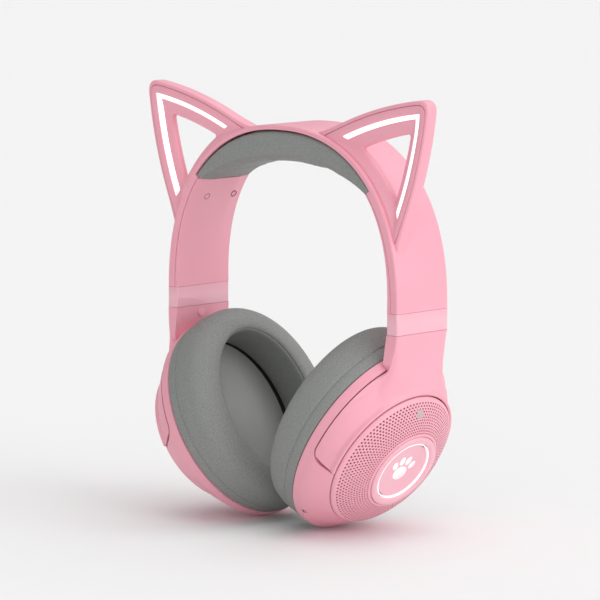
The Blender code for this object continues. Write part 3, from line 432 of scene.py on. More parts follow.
# %% The band's outer shell
def shell_section(along):
    """Half a channel: inner floor, lip, straight side, round shoulder, faintly crowned top."""
    lip = LIP if abs(along) < PAD_HALF else COVER_AT - GAP
    inner = HALF_DEPTH - SHELL_WALL
    shoulder = arc((HALF_DEPTH - BAND_ROUND, BAND_ROUND), BAND_ROUND, 0, -90, 8)
    edge = arc((HALF_DEPTH - 0.3, lip - 0.3), 0.3, 90, 0, 4)
    top = np.stack([np.linspace(13.5, 0.5, 7), np.zeros(7)], 1)
    floor = np.array([(0.5, SHELL_WALL), (8.0, SHELL_WALL), (inner, SHELL_WALL), (inner, lip)])
    return symmetric(np.vstack([floor, edge, shoulder, top]))


legs = np.linspace(PAD_HALF + 0.05, ARCH_HALF, 46)
middle_stations = np.linspace(-PAD_HALF + 0.05, PAD_HALF - 0.05, 96)
stations = np.concatenate([-legs[::-1], middle_stations, legs])
points, faces = loft(along_band(stations, shell_section))
make_piece("band_outer_shell", points, faces, PINK, "headband", "pink_shell", ["headband_outer_shell"])


# %% The inner covers, below the pad on each leg, and the plugs over their screws
COVER_EDGE = 5.35
PLUG_ALONG, PLUG_OUTER, PLUG_INNER, PLUG_LOW, PLUG_HIGH = PAD_HALF + 12.5, 1.9, 1.62, 6.8, 7.05


def cover_section(along):
    """Half a strip: flat seat, a side that grows toward the collar, a long slope and the inner face."""
    share = np.clip((abs(along) - PAD_HALF) / (ARCH_HALF - PAD_HALF), 0, 1) ** 1.5
    edge = COVER_EDGE + (BAND_THICK - 0.25 - COVER_EDGE) * share
    corner = arc((HALF_DEPTH - 0.25, edge - 0.05), 0.25, 0, 80, 4)
    across = np.linspace(17.3, 8.0, 9)
    inward = smooth_step((HALF_DEPTH - 0.25 - across) / 9.0)
    slope = np.column_stack([across, edge + 0.2 + (BAND_THICK - edge - 0.2) * inward])
    inner_face = np.stack([np.linspace(6.0, 0.5, 4), np.full(4, BAND_THICK)], 1)
    seat = [(0.5, COVER_AT), (HALF_DEPTH - 0.25, COVER_AT)]
    return symmetric(np.vstack([seat, corner, slope, inner_face]))


for name, side in SIDES:
    ends = PAD_HALF + GAP, ARCH_HALF
    rows = np.concatenate([[ends[0]], np.linspace(ends[0] + 0.4, ends[1], 44)])
    points, faces = loft(along_band(side * rows, cover_section))
    make_piece(f"band_inner_cover_{name}", points, faces, PINK, "headband", "pink_shell",
               [f"headband_inner_cover_{name}"])
# Two round plugs hide the screws that hold each cover. No groove is cut round them: a thin dark plum ring on the
# face is painted shade of that groove.
for name, side in SIDES:
    for number, across in enumerate((-6.6, 13.0)):
        rings = []
        turn = np.linspace(0, 2 * math.pi, 24, endpoint=False)
        for radius, depth in ((PLUG_OUTER, PLUG_LOW), (PLUG_OUTER, PLUG_HIGH), (PLUG_INNER, PLUG_HIGH),
                              (PLUG_INNER, PLUG_LOW)):
            along = side * (PLUG_ALONG + radius * np.cos(turn))
            x, z = arch_at(along, depth)
            rings.append(np.stack([x, across + radius * np.sin(turn), z], 1))
        points, faces = loft(np.array(rings), True)
        make_piece(f"cover_plug_ring_{name}_{number}", points, faces, PLUM_CLOTH_AND_SHADE, "headband", "scrim_cloth")
print("band done")


# %% [markdown]
# ## The collars
# A polished ring closes the end of each leg of the band. It moves down with the slider, and the
# steel rail behind it comes into view. Seen from above it is a rectangle with round corners.

# %% Collars
COLLAR_GAP = 0.12


def rounded_outline(half_x, half_y, radius, middle_x, inset=0.0, inner=None):
    """Points round a rectangle with round corners, all moved in by an inset."""
    points = []
    for sx, sy, start in ((1, 1, 0), (-1, 1, 90), (-1, -1, 180), (1, -1, 270)):
        size = radius if sx > 0 or inner is None else inner
        corner = (middle_x + sx * (half_x - size), sy * (half_y - size))
        points.append(arc(corner, size - inset, start, start + 90, 9))
    return np.vstack(points)


def collar_rings(top, bottom):
    rings = []
    half = BAND_THICK / 2
    for z, inset in ((top, 0.2), (top - 0.06, 0.06), (top - 0.2, 0), (bottom + 0.2, 0),
                     (bottom + 0.06, 0.06), (bottom, 0.2)):
        outline = rounded_outline(half, HALF_DEPTH, BAND_ROUND, BAND_HALF - half, inset, 0.6)
        outline[:, 1] = deeper_behind(outline[:, 1])
        rings.append(np.column_stack([outline, np.full(len(outline), z)]))
    return np.array(rings)


for name, side in SIDES:
    shape = loft(collar_rings(END_Z - COLLAR_GAP, YOKE_TOP + COLLAR_GAP))
    paired_piece("slider_collar_ring", shape, side, PINK_GLOSS, "slider", "pink_gloss", "slider_collar")
print("collars done")


# %% [markdown]
# ## The cup's surface
# The cup is an oval bucket. Its wall stands straight for a few millimetres and then narrows almost
# in a straight line to the round face. The fork covers the upper half of it and lies flush, so both
# pieces use the same line. The functions below give that line, and put cup points into the world.

# %% The cup's line
CORE_INSET, CLEARANCE, LEAST_LIP = 3.0, 0.6, 1.6


def place(points, side=1):
    """World points of cup points (long, short, out)."""
    return mirrored(CUP_MIDDLE + np.asarray(points, float) @ CUP_AXES, side)


def cup_line(out):
    """Semi-axes of the outer surface at a height: straight rim, then narrowing to the round face."""
    out = np.asarray(out, float)
    share = np.clip((out - RIM_HEIGHT) / (CUP_DEPTH - RIM_HEIGHT), 0, 1)
    rise = np.clip(out / RIM_HEIGHT, 0, 1)
    long = RIM_LONG - rise - (RIM_LONG - 1 - FACE_RADIUS) * share
    short = RIM_SHORT - 0.5 * rise - (RIM_SHORT - 0.5 - FACE_RADIUS) * share**1.5
    return long, short


def core_line(out):
    """The surface under the fork: the cup's line moved in, but never inside the face."""
    long, short = cup_line(out)
    least = FACE_RADIUS - CLEARANCE
    return np.maximum(long - CORE_INSET, least), np.maximum(short - CORE_INSET, least)


def oval_rings(rows, count):
    """Rings round the cup from rows of (long semi-axis, short semi-axis, out)."""
    rows = np.asarray(rows, float)[:, None, :]
    turn = np.linspace(0, 2 * math.pi, count, endpoint=False)[None, :]
    flat = np.broadcast_to(rows[..., 2], (rows.shape[0], count))
    return np.stack([rows[..., 0] * np.cos(turn), rows[..., 1] * np.sin(turn), flat], -1)


def cup_piece(name, rows, count, side, look, slot, replaces=(), closed=True, **more):
    """A piece turned round the cup's axis, from rows like those of oval_rings."""
    points, faces = loft(oval_rings(rows, count), closed)
    end = "left" if side > 0 else "right"
    return make_piece(f"{name}_{end}", place(points, side), faces, look, f"cup_{end}", slot, replaces,
                      **more)


print("cup rim", cup_line(0.0), "and face", cup_line(CUP_DEPTH))


# %% [markdown]
# ## The cup's housing
# The housing is turned round the cup's axis, and the room for the fork is cut from it. The cutter is
# a ring round the cup, kept only where the fork swings: a prism with a round corner, turned a
# little for each tilt. A Boolean gives the crisp step that shows as the dark line round the fork.

# %% Housing: turned bucket, cut by the room the fork swings in
PIVOT_LONG, PIVOT_OUT, TILT = 3.0, 11.6, math.radians(9)
FORK_END, FORK_ROUND = -5.0, 6.5


def plain_object(name, points, faces):
    """A helper for Booleans, with its faces out."""
    return make_piece(name, points, faces, BLACK, None, None)


def fork_prism(side, grow, tilts):
    """The convex hull of the fork's profile, drawn out across the cup, at each tilt."""
    low_out = RIM_HEIGHT + 0.9
    corner = arc((low_out + FORK_ROUND, FORK_END + FORK_ROUND), FORK_ROUND + grow, 180, 270, 10)
    outline = np.vstack([[(low_out - grow, 80.0), (60.0, 80.0), (60.0, FORK_END - grow)], corner])
    hull = bmesh.new()
    for tilt in tilts:
        offset = outline - [PIVOT_OUT, PIVOT_LONG]
        out = offset[:, 0] * math.cos(tilt) + offset[:, 1] * math.sin(tilt) + PIVOT_OUT
        long = offset[:, 1] * math.cos(tilt) - offset[:, 0] * math.sin(tilt) + PIVOT_LONG
        keep = (long < 60) | (tilt == 0)
        for across in (-70.0, 70.0):
            rows = np.column_stack([long[keep], np.full(keep.sum(), across), out[keep]])
            for point in place(rows, side):
                hull.verts.new(point)
    made = bmesh.ops.convex_hull(hull, input=hull.verts)
    inside = [item for item in made["geom_interior"] if isinstance(item, bmesh.types.BMVert)]
    bmesh.ops.delete(hull, geom=inside, context="VERTS")
    hull.verts.index_update()
    points = [vert.co[:] for vert in hull.verts]
    faces = [[vert.index for vert in face.verts] for face in hull.faces]
    hull.free()
    return np.array(points), faces


def boolean(target, other, operation):
    """Applies a Boolean and removes the other object."""
    change = target.modifiers.new("cut", "BOOLEAN")
    change.operation, change.solver, change.object = operation, "EXACT", other
    graph = bpy.context.evaluated_depsgraph_get()
    made = bpy.data.meshes.new_from_object(target.evaluated_get(graph))
    target.modifiers.clear()
    target.data = made
    bpy.data.objects.remove(other)


def housing_rows():
    """Down the outside, over the face's seat, and back up the inside of the bucket."""
    levels = np.linspace(RIM_HEIGHT, CUP_DEPTH - 0.4, 9)
    outer = [(RIM_LONG - 0.5, RIM_SHORT - 0.5, GAP), (RIM_LONG - 0.1, RIM_SHORT - 0.1, GAP + 0.25)]
    outer += [(*cup_line(level), level) for level in (0.8, 2.5, 4.6, *levels)]
    wall = 2.2
    seat = FACE_RADIUS - 1.4
    outer += [(FACE_RADIUS, FACE_RADIUS, CUP_DEPTH), (seat, seat, CUP_DEPTH), (seat, seat, CUP_DEPTH - 1.0)]
    hole = 14.3
    floor = CUP_DEPTH - 1.0 - wall
    outer += [(hole, hole, CUP_DEPTH - 1.0), (hole, hole, floor)]
    for level in np.linspace(floor, RIM_HEIGHT, 4):
        long, short = core_line(level)
        outer.append((long - wall, short - wall, level))
    long, short = cup_line(3.4)
    return outer + [(long - wall, short - wall, 3.4), (RIM_LONG - 1 - wall, RIM_SHORT - 1 - wall, GAP)]


def button_box(turn_degrees, out, length, height, near, far, side, radius):
    """A round-ended slot through the wall, as an outline carried from one depth to another."""
    turn = math.radians(turn_degrees)
    long, short = cup_line(out)
    point = np.array([long * math.cos(turn), short * math.sin(turn), out])
    tangent = np.array([-long * math.sin(turn), short * math.cos(turn), 0])
    tangent /= np.linalg.norm(tangent)
    normal = np.cross(tangent, [0, 0, 1])
    outline = rounded_outline(length / 2, height / 2, radius, 0.0)
    section = outline[:, :1] * tangent + outline[:, 1:] * [[0, 0, 1]]
    rings = [point + normal * depth + section for depth in (near, far)]
    points, faces = loft(rings)
    return place(points, side), faces


CONTROLS = (("power_button", 221.0), ("volume_down_button", 236.0), ("volume_up_button", 250.0))
CONTROL_OUT, SOCKET_TURN, MICROPHONE_TURN, MICROPHONE_OUT = RIM_HEIGHT + 1.2, 203.0, 139.0, 6.6
COUNT, SHADE_BAND_TOP = 160, CUP_DEPTH - 0.6
for name, side in SIDES:
    housing = cup_piece("cup_bucket", housing_rows(), COUNT, side, PINK, "pink_shell",
                        [f"cup_housing_{name}"])
    levels = [RIM_HEIGHT - 4.0, *np.linspace(RIM_HEIGHT, CUP_DEPTH, 6), CUP_DEPTH + 4]
    core = [(*core_line(max(level, RIM_HEIGHT)), level) for level in levels]
    ring = [(90.0, 90.0, levels[0]), (90.0, 90.0, levels[-1])] + core[::-1]
    points, faces = loft(oval_rings(ring, COUNT), True)
    space = plain_object("fork_space", place(points, side), faces)
    swing = fork_prism(side, CLEARANCE, (0, TILT / 2, TILT))
    boolean(space, plain_object("fork_swing", *swing), "INTERSECT")
    boolean(housing, space, "DIFFERENCE")
    if side > 0:
        slots = [(at, CONTROL_OUT, 8.6, 4.0, -8.0, 8.0, side, 1.4) for _, at in CONTROLS]
        slots.append((SOCKET_TURN, CONTROL_OUT, 9.6, 3.8, -9.0, 9.0, side, 1.7))
        slots.append((MICROPHONE_TURN, MICROPHONE_OUT, 2.6, 1.3, -7.0, 7.0, side, 0.65))
        for slot_values in slots:
            boolean(housing, plain_object("slot_cutter", *button_box(*slot_values)), "DIFFERENCE")
        gauze = button_box(MICROPHONE_TURN, MICROPHONE_OUT, 2.5, 1.2, -2.0, -0.3, side, 0.6)
        make_piece("microphone_gauze", *gauze, PLUM_CLOTH_AND_SHADE, "cup_left", "scrim_cloth")
    shade(housing.data, SHARP)
    # A dark plum band lies on the rim's shelf and on the wall behind the fork: painted shade that darkens the
    # gap round the fork.
    low = GAP_OUT - CLEARANCE
    long, short = cup_line(low)
    rows = [(long - 0.9, short - 0.9, low - 0.1), (long - 0.9, short - 0.9, low + 0.01)]
    for start, end, proud, raised in ((low, SHADE_BAND_TOP, 0.015, 0.01), (SHADE_BAND_TOP, low - 0.1, -0.2, 0.0)):
        for level in np.linspace(start, end, 5):
            rows.append((*(semi + proud for semi in core_line(level)), level + raised))
    cup_piece("cup_gap_painted_shade", rows, 120, side, PLUM_CLOTH_AND_SHADE, "scrim_cloth")
    print("housing", name, len(housing.data.polygons), "faces")


# %% [markdown]
# ## The forks
# Each fork starts under the collar as a flat neck and flares into a shell that hugs the cup, with a
# flush outer face. A union of two solids would leave a crease, so the whole fork is one grid. Each
# line of the grid is a ray that starts inside the shell, comes over the lip round the grille, runs
# down the outer face, turns over the edge and ends on the dark gap line. Along the arms the rays
# end on the gap. In the middle they reach up the neck instead, to its side edges and its top.

# %% Curves that bound the fork
def cup_coordinates(points):
    """Cup coordinates of world points on the left side."""
    return (np.asarray(points, float) - CUP_MIDDLE) @ CUP_AXES.T


def on_oval(long, short, angle, out):
    """World points on an oval round the cup's axis."""
    flat = np.broadcast_to(out, np.shape(angle))
    return place(np.column_stack([long * np.cos(angle), short * np.sin(angle), flat]))


def gap_point(angle):
    """World points on the gap line at angles round the cup."""
    return on_oval(*cup_line(GAP_OUT), angle, GAP_OUT)


def bezier(points, share):
    """A cubic through its first and last control point."""
    a, b, c, d = (np.asarray(point, float) for point in points)
    t = share[:, None]
    return (1 - t) ** 3 * a + 3 * t * (1 - t) ** 2 * b + 3 * t**2 * (1 - t) * c + t**3 * d


def gap_angle(world_y):
    """The angle at which the gap line has a given world y, near the neck."""
    angles = np.linspace(-0.9, 0.9, 4001)
    return angles[np.argmin(np.abs(gap_point(angles)[:, 1] - world_y))]


def outer_at(angle, out):
    """World points of the fork's outer face on its cone."""
    long, short = (np.maximum(semi, FACE_RADIUS + LEAST_LIP) for semi in cup_line(out))
    return on_oval(long, short, angle, out)


def inner_at(angle, out):
    """World points of the fork's inner face."""
    return on_oval(*(semi + CLEARANCE for semi in core_line(out)), angle, out)


# %% The rays of one half, from the middle of the neck to the end of one arm
def fork_rays(toward):
    """Angles and edge curves of the rays toward the front (1) or the rear (-1) of the cup."""
    y = -toward * HALF_DEPTH
    junction = abs(gap_angle(y))
    tops, sides, arms = 14, 30, 64
    s = np.linspace(0, 1, sides)
    # The neck's outer edge falls straight, then sweeps out over the cone and fades into it.
    fade_angle, fade_out = 0.63, 10.0
    fade = outer_at(np.array([toward * fade_angle]), np.array([fade_out]))[0]
    y_top = float(deeper_behind(np.array(y)))
    waist = np.array([BAND_HALF, y_top + (0.0 if toward > 0 else -5.0), YOKE_TOP - 11.0])
    start = np.array([BAND_HALF, y_top, YOKE_TOP])
    edge_side = bezier((start, waist, fade + [1.8, toward * 4.4, 6.7], fade), s)
    # The neck's inner edge falls to the gap line, then follows the gap.
    corner_share = 0.55
    down = np.clip(s / corner_share, 0, 1)
    joint = gap_point(np.array([toward * junction]))[0]
    inner_top = np.array([BAND_HALF - BAND_THICK, y_top, YOKE_TOP])
    follow = np.clip((s - corner_share) / (1 - corner_share), 0, 1)
    gap_side_angle = toward * (junction + follow * (0.86 - junction))
    neck_edge = inner_top + down[:, None] * (joint - inner_top)
    swell = (down * smooth_step((1 - down) / 0.25))[:, None]
    neck_edge += swell * ([-1.4, -2.6, 0.0] if toward > 0 else [-1.4, -1.0, 0.0])
    inner_side = np.where((s < corner_share)[:, None], neck_edge, gap_point(gap_side_angle))
    foot_side = toward * np.where(s < corner_share, junction * (0.72 + 0.28 * down), np.abs(gap_side_angle))
    # Across the top.
    t = np.linspace(0, 1, tops, endpoint=False)
    wide = HALF_DEPTH - BAND_ROUND
    top_y = deeper_behind(-toward * wide * t)
    edge_top = np.column_stack([np.full(tops, BAND_HALF), top_y, np.full(tops, YOKE_TOP)])
    inner_top_line = edge_top - [BAND_THICK, 0, 0]
    foot_top = toward * junction * 0.7 * t
    # Along the arm, to its round corner and its end.
    u = np.linspace(0, 1, arms + 1)[1:]
    u = 1 - (1 - u) ** 1.35
    end_angle = 1.628
    foot_arm = toward * (0.86 + (end_angle - 0.86) * u)
    long = cup_line(GAP_OUT)[0] * np.cos(foot_arm)
    into = np.clip((FORK_END + FORK_ROUND - long) / FORK_ROUND, 0, 1)
    rise = FORK_ROUND * (1 - np.sqrt(1 - into**2))
    inner_arm = outer_at(foot_arm, GAP_OUT + rise)
    lift = 0.5 + (fade_out - GAP_OUT - 0.5) * (1 - smooth_step(u / 0.45))
    edge_arm = outer_at(foot_arm - toward * 0.23 * (1 - smooth_step(u / 0.45)), GAP_OUT + rise + lift)
    edge = np.vstack([edge_top, edge_side, edge_arm])
    inner = np.vstack([inner_top_line, inner_side, inner_arm])
    foot = np.concatenate([foot_top, foot_side, foot_arm])
    foot_out = np.concatenate([np.full(tops + sides, GAP_OUT), GAP_OUT + rise])
    count = len(foot)
    total = np.linspace(0, 1, count)
    knots = [0, tops / count, (tops + sides) / count, 1]
    face = toward * np.interp(total, knots, [0, 0.36, 0.80, end_angle + 0.09])
    side_round = BAND_ROUND + (0.8 - BAND_ROUND) * s
    round_size = np.concatenate([np.full(tops, 0.4), side_round, np.full(arms, 0.5)])
    turn_in = np.concatenate([np.zeros(tops), 1 - s, np.zeros(arms)])
    return edge, inner, foot, foot_out, face, round_size, turn_in


def unit(vectors):
    return vectors / np.maximum(np.linalg.norm(vectors, axis=1, keepdims=True), 1e-9)


def fork_grid():
    """All points of the fork: rays by steps along each ray's loop."""
    front, rear = fork_rays(1), fork_rays(-1)
    joined = [np.concatenate([b[:0:-1], a]) for a, b in zip(front, rear)]
    edge, inner, foot, foot_out, face, round_size, turn_in = joined
    columns = []
    lip_out = FACE_RADIUS + LEAST_LIP
    # Up the inside of the shell.
    for share in np.linspace(0, 1, 5):
        columns.append(inner_at(foot + (face - foot) * share, foot_out + (CUP_DEPTH - foot_out) * share))
    # Over the lip round the grille.
    for radius, out in ((FACE_RADIUS + 0.1, 18.4), (FACE_RADIUS + 0.45, 18.62), (lip_out - 0.45, 18.6),
                        (lip_out - 0.1, 18.4)):
        columns.append(on_oval(radius, radius, face, out))
    # Down the outer face: the cone, moved step by step toward the edge curve.
    edge_cup = cup_coordinates(edge)
    long, short = cup_line(np.clip(edge_cup[:, 2], 0, CUP_DEPTH))
    edge_angle = np.arctan2(edge_cup[:, 1] / short, edge_cup[:, 0] / long)
    edge_out = np.maximum(edge_cup[:, 2], GAP_OUT)
    length = np.maximum(round_size, 0.05)[:, None]
    start = outer_at(face, np.full(len(face), 18.0))
    inward = unit(start - edge)
    flat_in = np.column_stack([np.zeros(len(face)), -np.sign(edge[:, 1]), np.zeros(len(face))])
    inward = unit(inward * (1 - turn_in[:, None]) + flat_in * turn_in[:, None])
    face_end = edge + inward * length
    end_on_cone = outer_at(edge_angle, edge_out)
    for share in np.linspace(0, 1, 15):
        on_cone = outer_at(face + (edge_angle - face) * share, 18.0 + (edge_out - 18.0) * share)
        columns.append(on_cone + (face_end - end_on_cone) * share)
    # Over the edge and across the strip to the inner edge.
    strip = inner - edge
    wide = np.linalg.norm(strip, axis=1, keepdims=True)
    strip_start = edge + strip / np.maximum(wide, 1e-9) * np.minimum(length, 0.45 * wide)
    for share in np.linspace(0, 1, 6)[1:]:
        bend = 2 * share * (1 - share) * edge
        columns.append((1 - share) ** 2 * face_end + bend + share**2 * strip_start)
    for share in (0.4, 0.75, 1.0):
        columns.append(strip_start + (inner - strip_start) * share)
    # Down the neck's inner face to the gap line, and in to the shell's inner foot.
    goal = outer_at(foot, foot_out)
    for share in (0.3, 0.65, 1.0):
        columns.append(inner + (goal - inner) * share)
    return np.stack(columns, 1)


FORK = fork_grid()
for name, side in SIDES:
    paired_piece("fork", loft(FORK), side, PINK, "slider", "pink_shell", "yoke", sharp=50, weld=True)
print("fork grid", FORK.shape, "highest x", round(FORK[..., 0].max(), 1))

# %% [markdown]
# ## The soft pieces
# A cushion is foam in a leatherette skin, sewn to a ring. It starts a little slim, as a closed ring,
# and Blender's Cloth blows it up with a steady pressure while its back edge is held. How far a
# point may move is capped, so that the pad stays in its room. The seams come after that, on a finer
# grid read off the blown-up one.

# %% Cloth simulation of a closed grid
def inflated(grid, close_rows, held, cap, pressure=4.0, frames=20):
    """The grid's points after a short cloth simulation; held is 1 where the skin is sewn down."""
    rows, columns = grid.shape[:2]
    points, faces = loft(grid, close_rows)
    soft = plain_object("soft_form", points, faces)
    pins = soft.vertex_groups.new(name="held")
    for number in np.flatnonzero(held.reshape(-1) > 0.01):
        pins.add([int(number)], float(held.reshape(-1)[number]), "REPLACE")
    cloth = soft.modifiers.new("inflate", "CLOTH")
    settings = cloth.settings
    settings.quality = 6
    settings.mass = 0.3
    settings.tension_stiffness = settings.compression_stiffness = 18
    settings.bending_stiffness = 2.0
    settings.use_pressure = True
    settings.uniform_pressure_force = pressure
    settings.effector_weights.gravity = 0
    settings.vertex_group_mass = pins.name
    cloth.collision_settings.use_self_collision = False
    cloth.point_cache.frame_end = frames + 1
    scene = bpy.context.scene
    for number in range(1, frames + 1):
        scene.frame_set(number)
    graph = bpy.context.evaluated_depsgraph_get()
    blown = soft.evaluated_get(graph)
    found = np.empty(len(points) * 3)
    blown.data.vertices.foreach_get("co", found)
    bpy.data.objects.remove(soft)
    scene.frame_set(1)
    moved = found.reshape(-1, 3) * 1000 - points
    far = np.linalg.norm(moved, axis=1, keepdims=True)
    moved *= np.minimum(1, cap / np.maximum(far, 1e-6))
    print("  blown up by", round(float(far.mean()), 2), "mm, at most", round(float(far.max()), 2))
    return (points + moved).reshape(rows, columns, 3)


def resample(grid, rows_at, columns_at, close_rows):
    """Catmull-Rom reading of a grid at new row and column positions; columns always close."""
    def along(values, at, closed):
        count = len(values)
        base = np.floor(at).astype(int)
        t = (at - base)[:, None, None]
        pick = [(base + k) % count if closed else np.clip(base + k, 0, count - 1) for k in (-1, 0, 1, 2)]
        a, b, c, d = (values[index] for index in pick)
        square, cube = 2 * a - 5 * b + 4 * c - d, 3 * b - a - 3 * c + d
        return 0.5 * (2 * b + (c - a) * t + square * t**2 + cube * t**3)

    rows = along(grid, rows_at, close_rows)
    return along(rows.transpose(1, 0, 2), columns_at, True).transpose(1, 0, 2)


def grid_normals(grid, close_rows):
    """Unit normals of a grid from its differences along rows and columns."""
    if close_rows:
        along = np.roll(grid, -1, 0) - np.roll(grid, 1, 0)
    else:
        along = np.gradient(grid, axis=0)
    across = np.roll(grid, -1, 1) - np.roll(grid, 1, 1)
    normal = np.cross(along, across)
    return normal / np.maximum(np.linalg.norm(normal, axis=2, keepdims=True), 1e-9)


# %% Ear cushions
CUSHION_THICK, CUSHION_TAPER, CUSHION_YAW = 25.6, 0.035, -0.025


def cushion_section():
    """Insets from the rim and heights: outer wall, roll, inner lip, wall of the hollow."""
    roll = 10.6
    deep = CUSHION_THICK - roll
    wall = [(0.9, 0.3), (0.45, 0.9), (0.1, 2.4), (0.0, 4.2), (-0.1, 6.4), (-0.3, 8.8), (-0.35, 11.2),
            (-0.25, 13.4)]
    turn = np.radians(np.linspace(4, 88, 9))
    curve = np.column_stack([roll * (1 - np.cos(turn)), deep + roll * np.sin(turn)])
    lip = [(11.6, 25.5), (12.9, 25.2), (14.0, 24.3), (14.6, 22.9), (14.75, 21.2), (14.5, 18.5),
           (14.0, 14.5), (13.2, 10.0), (12.2, 5.5), (11.2, 2.2), (10.4, 0.5), (7.5, 0.15), (4.0, 0.15)]
    return np.vstack([wall, curve, lip])


def cushion_points(section, count):
    """The section carried round the oval, thicker toward the top and the rear."""
    turn = np.linspace(0, 2 * math.pi, count, endpoint=False)[:, None]
    inset, height = section[:, 0][None], section[:, 1][None]
    share = np.clip(inset / 14.6, 0, 1)
    long = (RIM_LONG - 0.1 - inset) * np.cos(turn)
    short = (RIM_SHORT + 0.2 - inset * (1 + 0.1 * share)) * np.sin(turn)
    thick = 1 + (CUSHION_TAPER * long + CUSHION_YAW * short) / CUSHION_THICK
    return np.stack([long, short, -height * thick], -1)


section = cushion_section()
start = cushion_points(section, 88)
held = np.clip(1.2 - section[:, 1] / 2.2, 0, 1) + np.clip((section[:, 0] - 14.0) * 0.2, 0, 0.3)
cushion_base = inflated(start, True, np.broadcast_to(held, start.shape[:2]).copy(), 1.6, 5.0)
rows_at = np.arange(0, 88, 88 / 264)
near_seams = [3.75, 3.9, 4.1, 4.25, 4.35, 19.25, 19.4, 19.6, 19.75]
columns_at = np.sort(np.concatenate([np.arange(0, len(section), 0.5), near_seams]))
fine = resample(cushion_base, rows_at, columns_at, True)
normal = grid_normals(fine, True)


def groove(at, where, deep, wide):
    """A sewn line: a narrow valley round one place of the section."""
    return -deep * np.exp(-(((at - where) / wide) ** 2))


puckers = 1 + 0.35 * np.sin(np.arange(len(rows_at))[:, None] * 2 * math.pi / 4)
valley = groove(columns_at, 4.0, 0.55, 0.2)[None, :] * puckers + groove(columns_at, 19.5, 0.4, 0.2)[None, :]
outward = np.sign(np.einsum("ijk,ijk->ij", normal, fine - fine.mean(1, keepdims=True)).mean())
cushion_grid = fine + normal * valley[..., None] * outward
for name, side in SIDES:
    points, faces = loft(cushion_grid, True)
    cushion = make_piece(f"ear_cushion_leather_{name}", place(points, side), faces, LEATHER, f"cup_{name}",
                         "ear_leatherette", [f"ear_cushion_{name}"], sharp=80)
    # The knit over the driver, slightly domed, closes the floor of the hollow.
    rows = [(42.2, 32.2, 0.35)]
    for share in (1, 0.9, 0.75, 0.5, 0.25, 0.02):
        rows.append((41.8 * share, 31.8 * share, 0.8 - 2.4 * math.cos(share * math.pi / 2) ** 2))
    cup_piece("ear_knit", rows, 96, side, KNIT, "scrim_cloth", [f"ear_scrim_{name}"], closed=False)
print("cushions:", cushion_grid.shape)


# %% Head pad
def pad_section(share):
    """A soft bar: flat on top against the plate, crowned below, thinner toward the pad's ends."""
    top = LIP + GAP
    drop = 14.9 - 10.7 * share**2.4
    turn = np.linspace(0, 2 * math.pi, 56, endpoint=False) + 0.05
    across = 17.5 * np.sign(np.cos(turn)) * np.abs(np.cos(turn)) ** 0.36
    rise = np.sin(turn)
    power = np.where(rise > 0, 0.62, 0.16)
    depth = top + drop / 2 + drop / 2 * np.sign(rise) * np.abs(rise) ** power
    return np.column_stack([across, depth])


pad_rows = np.linspace(GAP - PAD_HALF, PAD_HALF - GAP, 61)
pad_start = along_band(pad_rows, lambda along: pad_section(min(1, abs(along) / PAD_HALF)))
pad_depth = np.array([pad_section(min(1, abs(along) / PAD_HALF))[:, 1] for along in pad_rows])
near_top = np.clip(1 - (pad_depth - LIP - GAP) / 3.0, 0, 1)
near_end = np.clip((np.abs(pad_rows) - PAD_HALF + 4.0) / 4.0, 0, 1)[:, None]
pad_held = np.clip(near_top + near_end, 0, 1)
pad_base = inflated(pad_start, False, pad_held, 1.0, 5.0)
pad_grid = resample(pad_base, np.arange(0, 60.01, 0.5), np.arange(0, 56, 0.5), False)
points, faces = loft(pad_grid)
pad = make_piece("head_pad_leather", points, faces, LEATHER, "headband", "pad_fabric", ["headband_pad"],
                 sharp=60)
print("pad:", pad_grid.shape)

# %% [markdown]
# ## The grille
# The round face is a domed plastic grille with a staggered pattern of holes round the badge. The
# holes are real. The dome is a polar grid that leans a little with each ring, which staggers the
# rows. Each cell of the grid is eight quads between its own edge and a round hole, the same again
# on the back, and eight more down the hole's wall.

# %% Perforated dome
SPHERE, GRILLE_THICK, FACE_OUT = 64.0, 0.55, CUP_DEPTH + GAP
# The badge's rim lies between the light ring's outer radius and the grille's inner one.
RING_OUTER, RING_INNER = 17.3, 20.7


def dome(radius):
    """Height of the grille over a radius: part of a sphere that starts at the edge of the face."""
    edge = math.sqrt(SPHERE**2 - FACE_RADIUS**2)
    return FACE_OUT + 0.8 + np.sqrt(SPHERE**2 - np.asarray(radius, float) ** 2) - edge


def polar(radius, angle, below=0.0):
    return np.stack([radius * np.cos(angle), radius * np.sin(angle), dome(radius) - below], -1)


def perforated(first, last, rings, around):
    """Points and faces of the holed part, from the first radius to the last."""
    lean = 0.5
    radii = np.linspace(first, last, rings + 1)
    step = 2 * math.pi / around
    i, j = np.meshgrid(np.arange(rings), np.arange(around), indexing="ij")
    offsets = [(0, 0), (0.5, 0), (1, 0), (1, 0.5), (1, 1), (0.5, 1), (0, 1), (0, 0.5)]
    ring_step = radii[1] - radii[0]
    border = [(radii[0] + (i + a) * ring_step, (j + b + lean * (i + a)) * step) for a, b in offsets]
    centre_r = radii[0] + (i + 0.5) * ring_step
    centre_a = (j + 0.5 + lean * (i + 0.5)) * step
    size = 0.50 + 0.10 * (centre_r - first) / (last - first)
    points = []
    cells = rings * around
    for below in (0.0, GRILLE_THICK):
        points += [polar(radius, angle, below).reshape(cells, 1, 3) for radius, angle in border]
        for radius, angle in border:
            dr, da = radius - centre_r, (angle - centre_a) * centre_r
            turn = np.arctan2(da, dr)
            rim = polar(centre_r + size * np.cos(turn), centre_a + size * np.sin(turn) / centre_r, below)
            points.append(rim.reshape(cells, 1, 3))
    points = np.concatenate(points, 1)
    k = np.arange(8)
    after = (k + 1) % 8
    top = np.column_stack([k, after, 8 + after, 8 + k])
    back = np.column_stack([16 + k, 24 + k, 24 + after, 16 + after])
    wall = np.column_stack([8 + k, 8 + after, 24 + after, 24 + k])
    cell = np.vstack([top, back, wall])
    faces = (cell[None] + 32 * np.arange(cells)[:, None, None]).reshape(-1, 4)
    return points.reshape(-1, 3), faces, radii


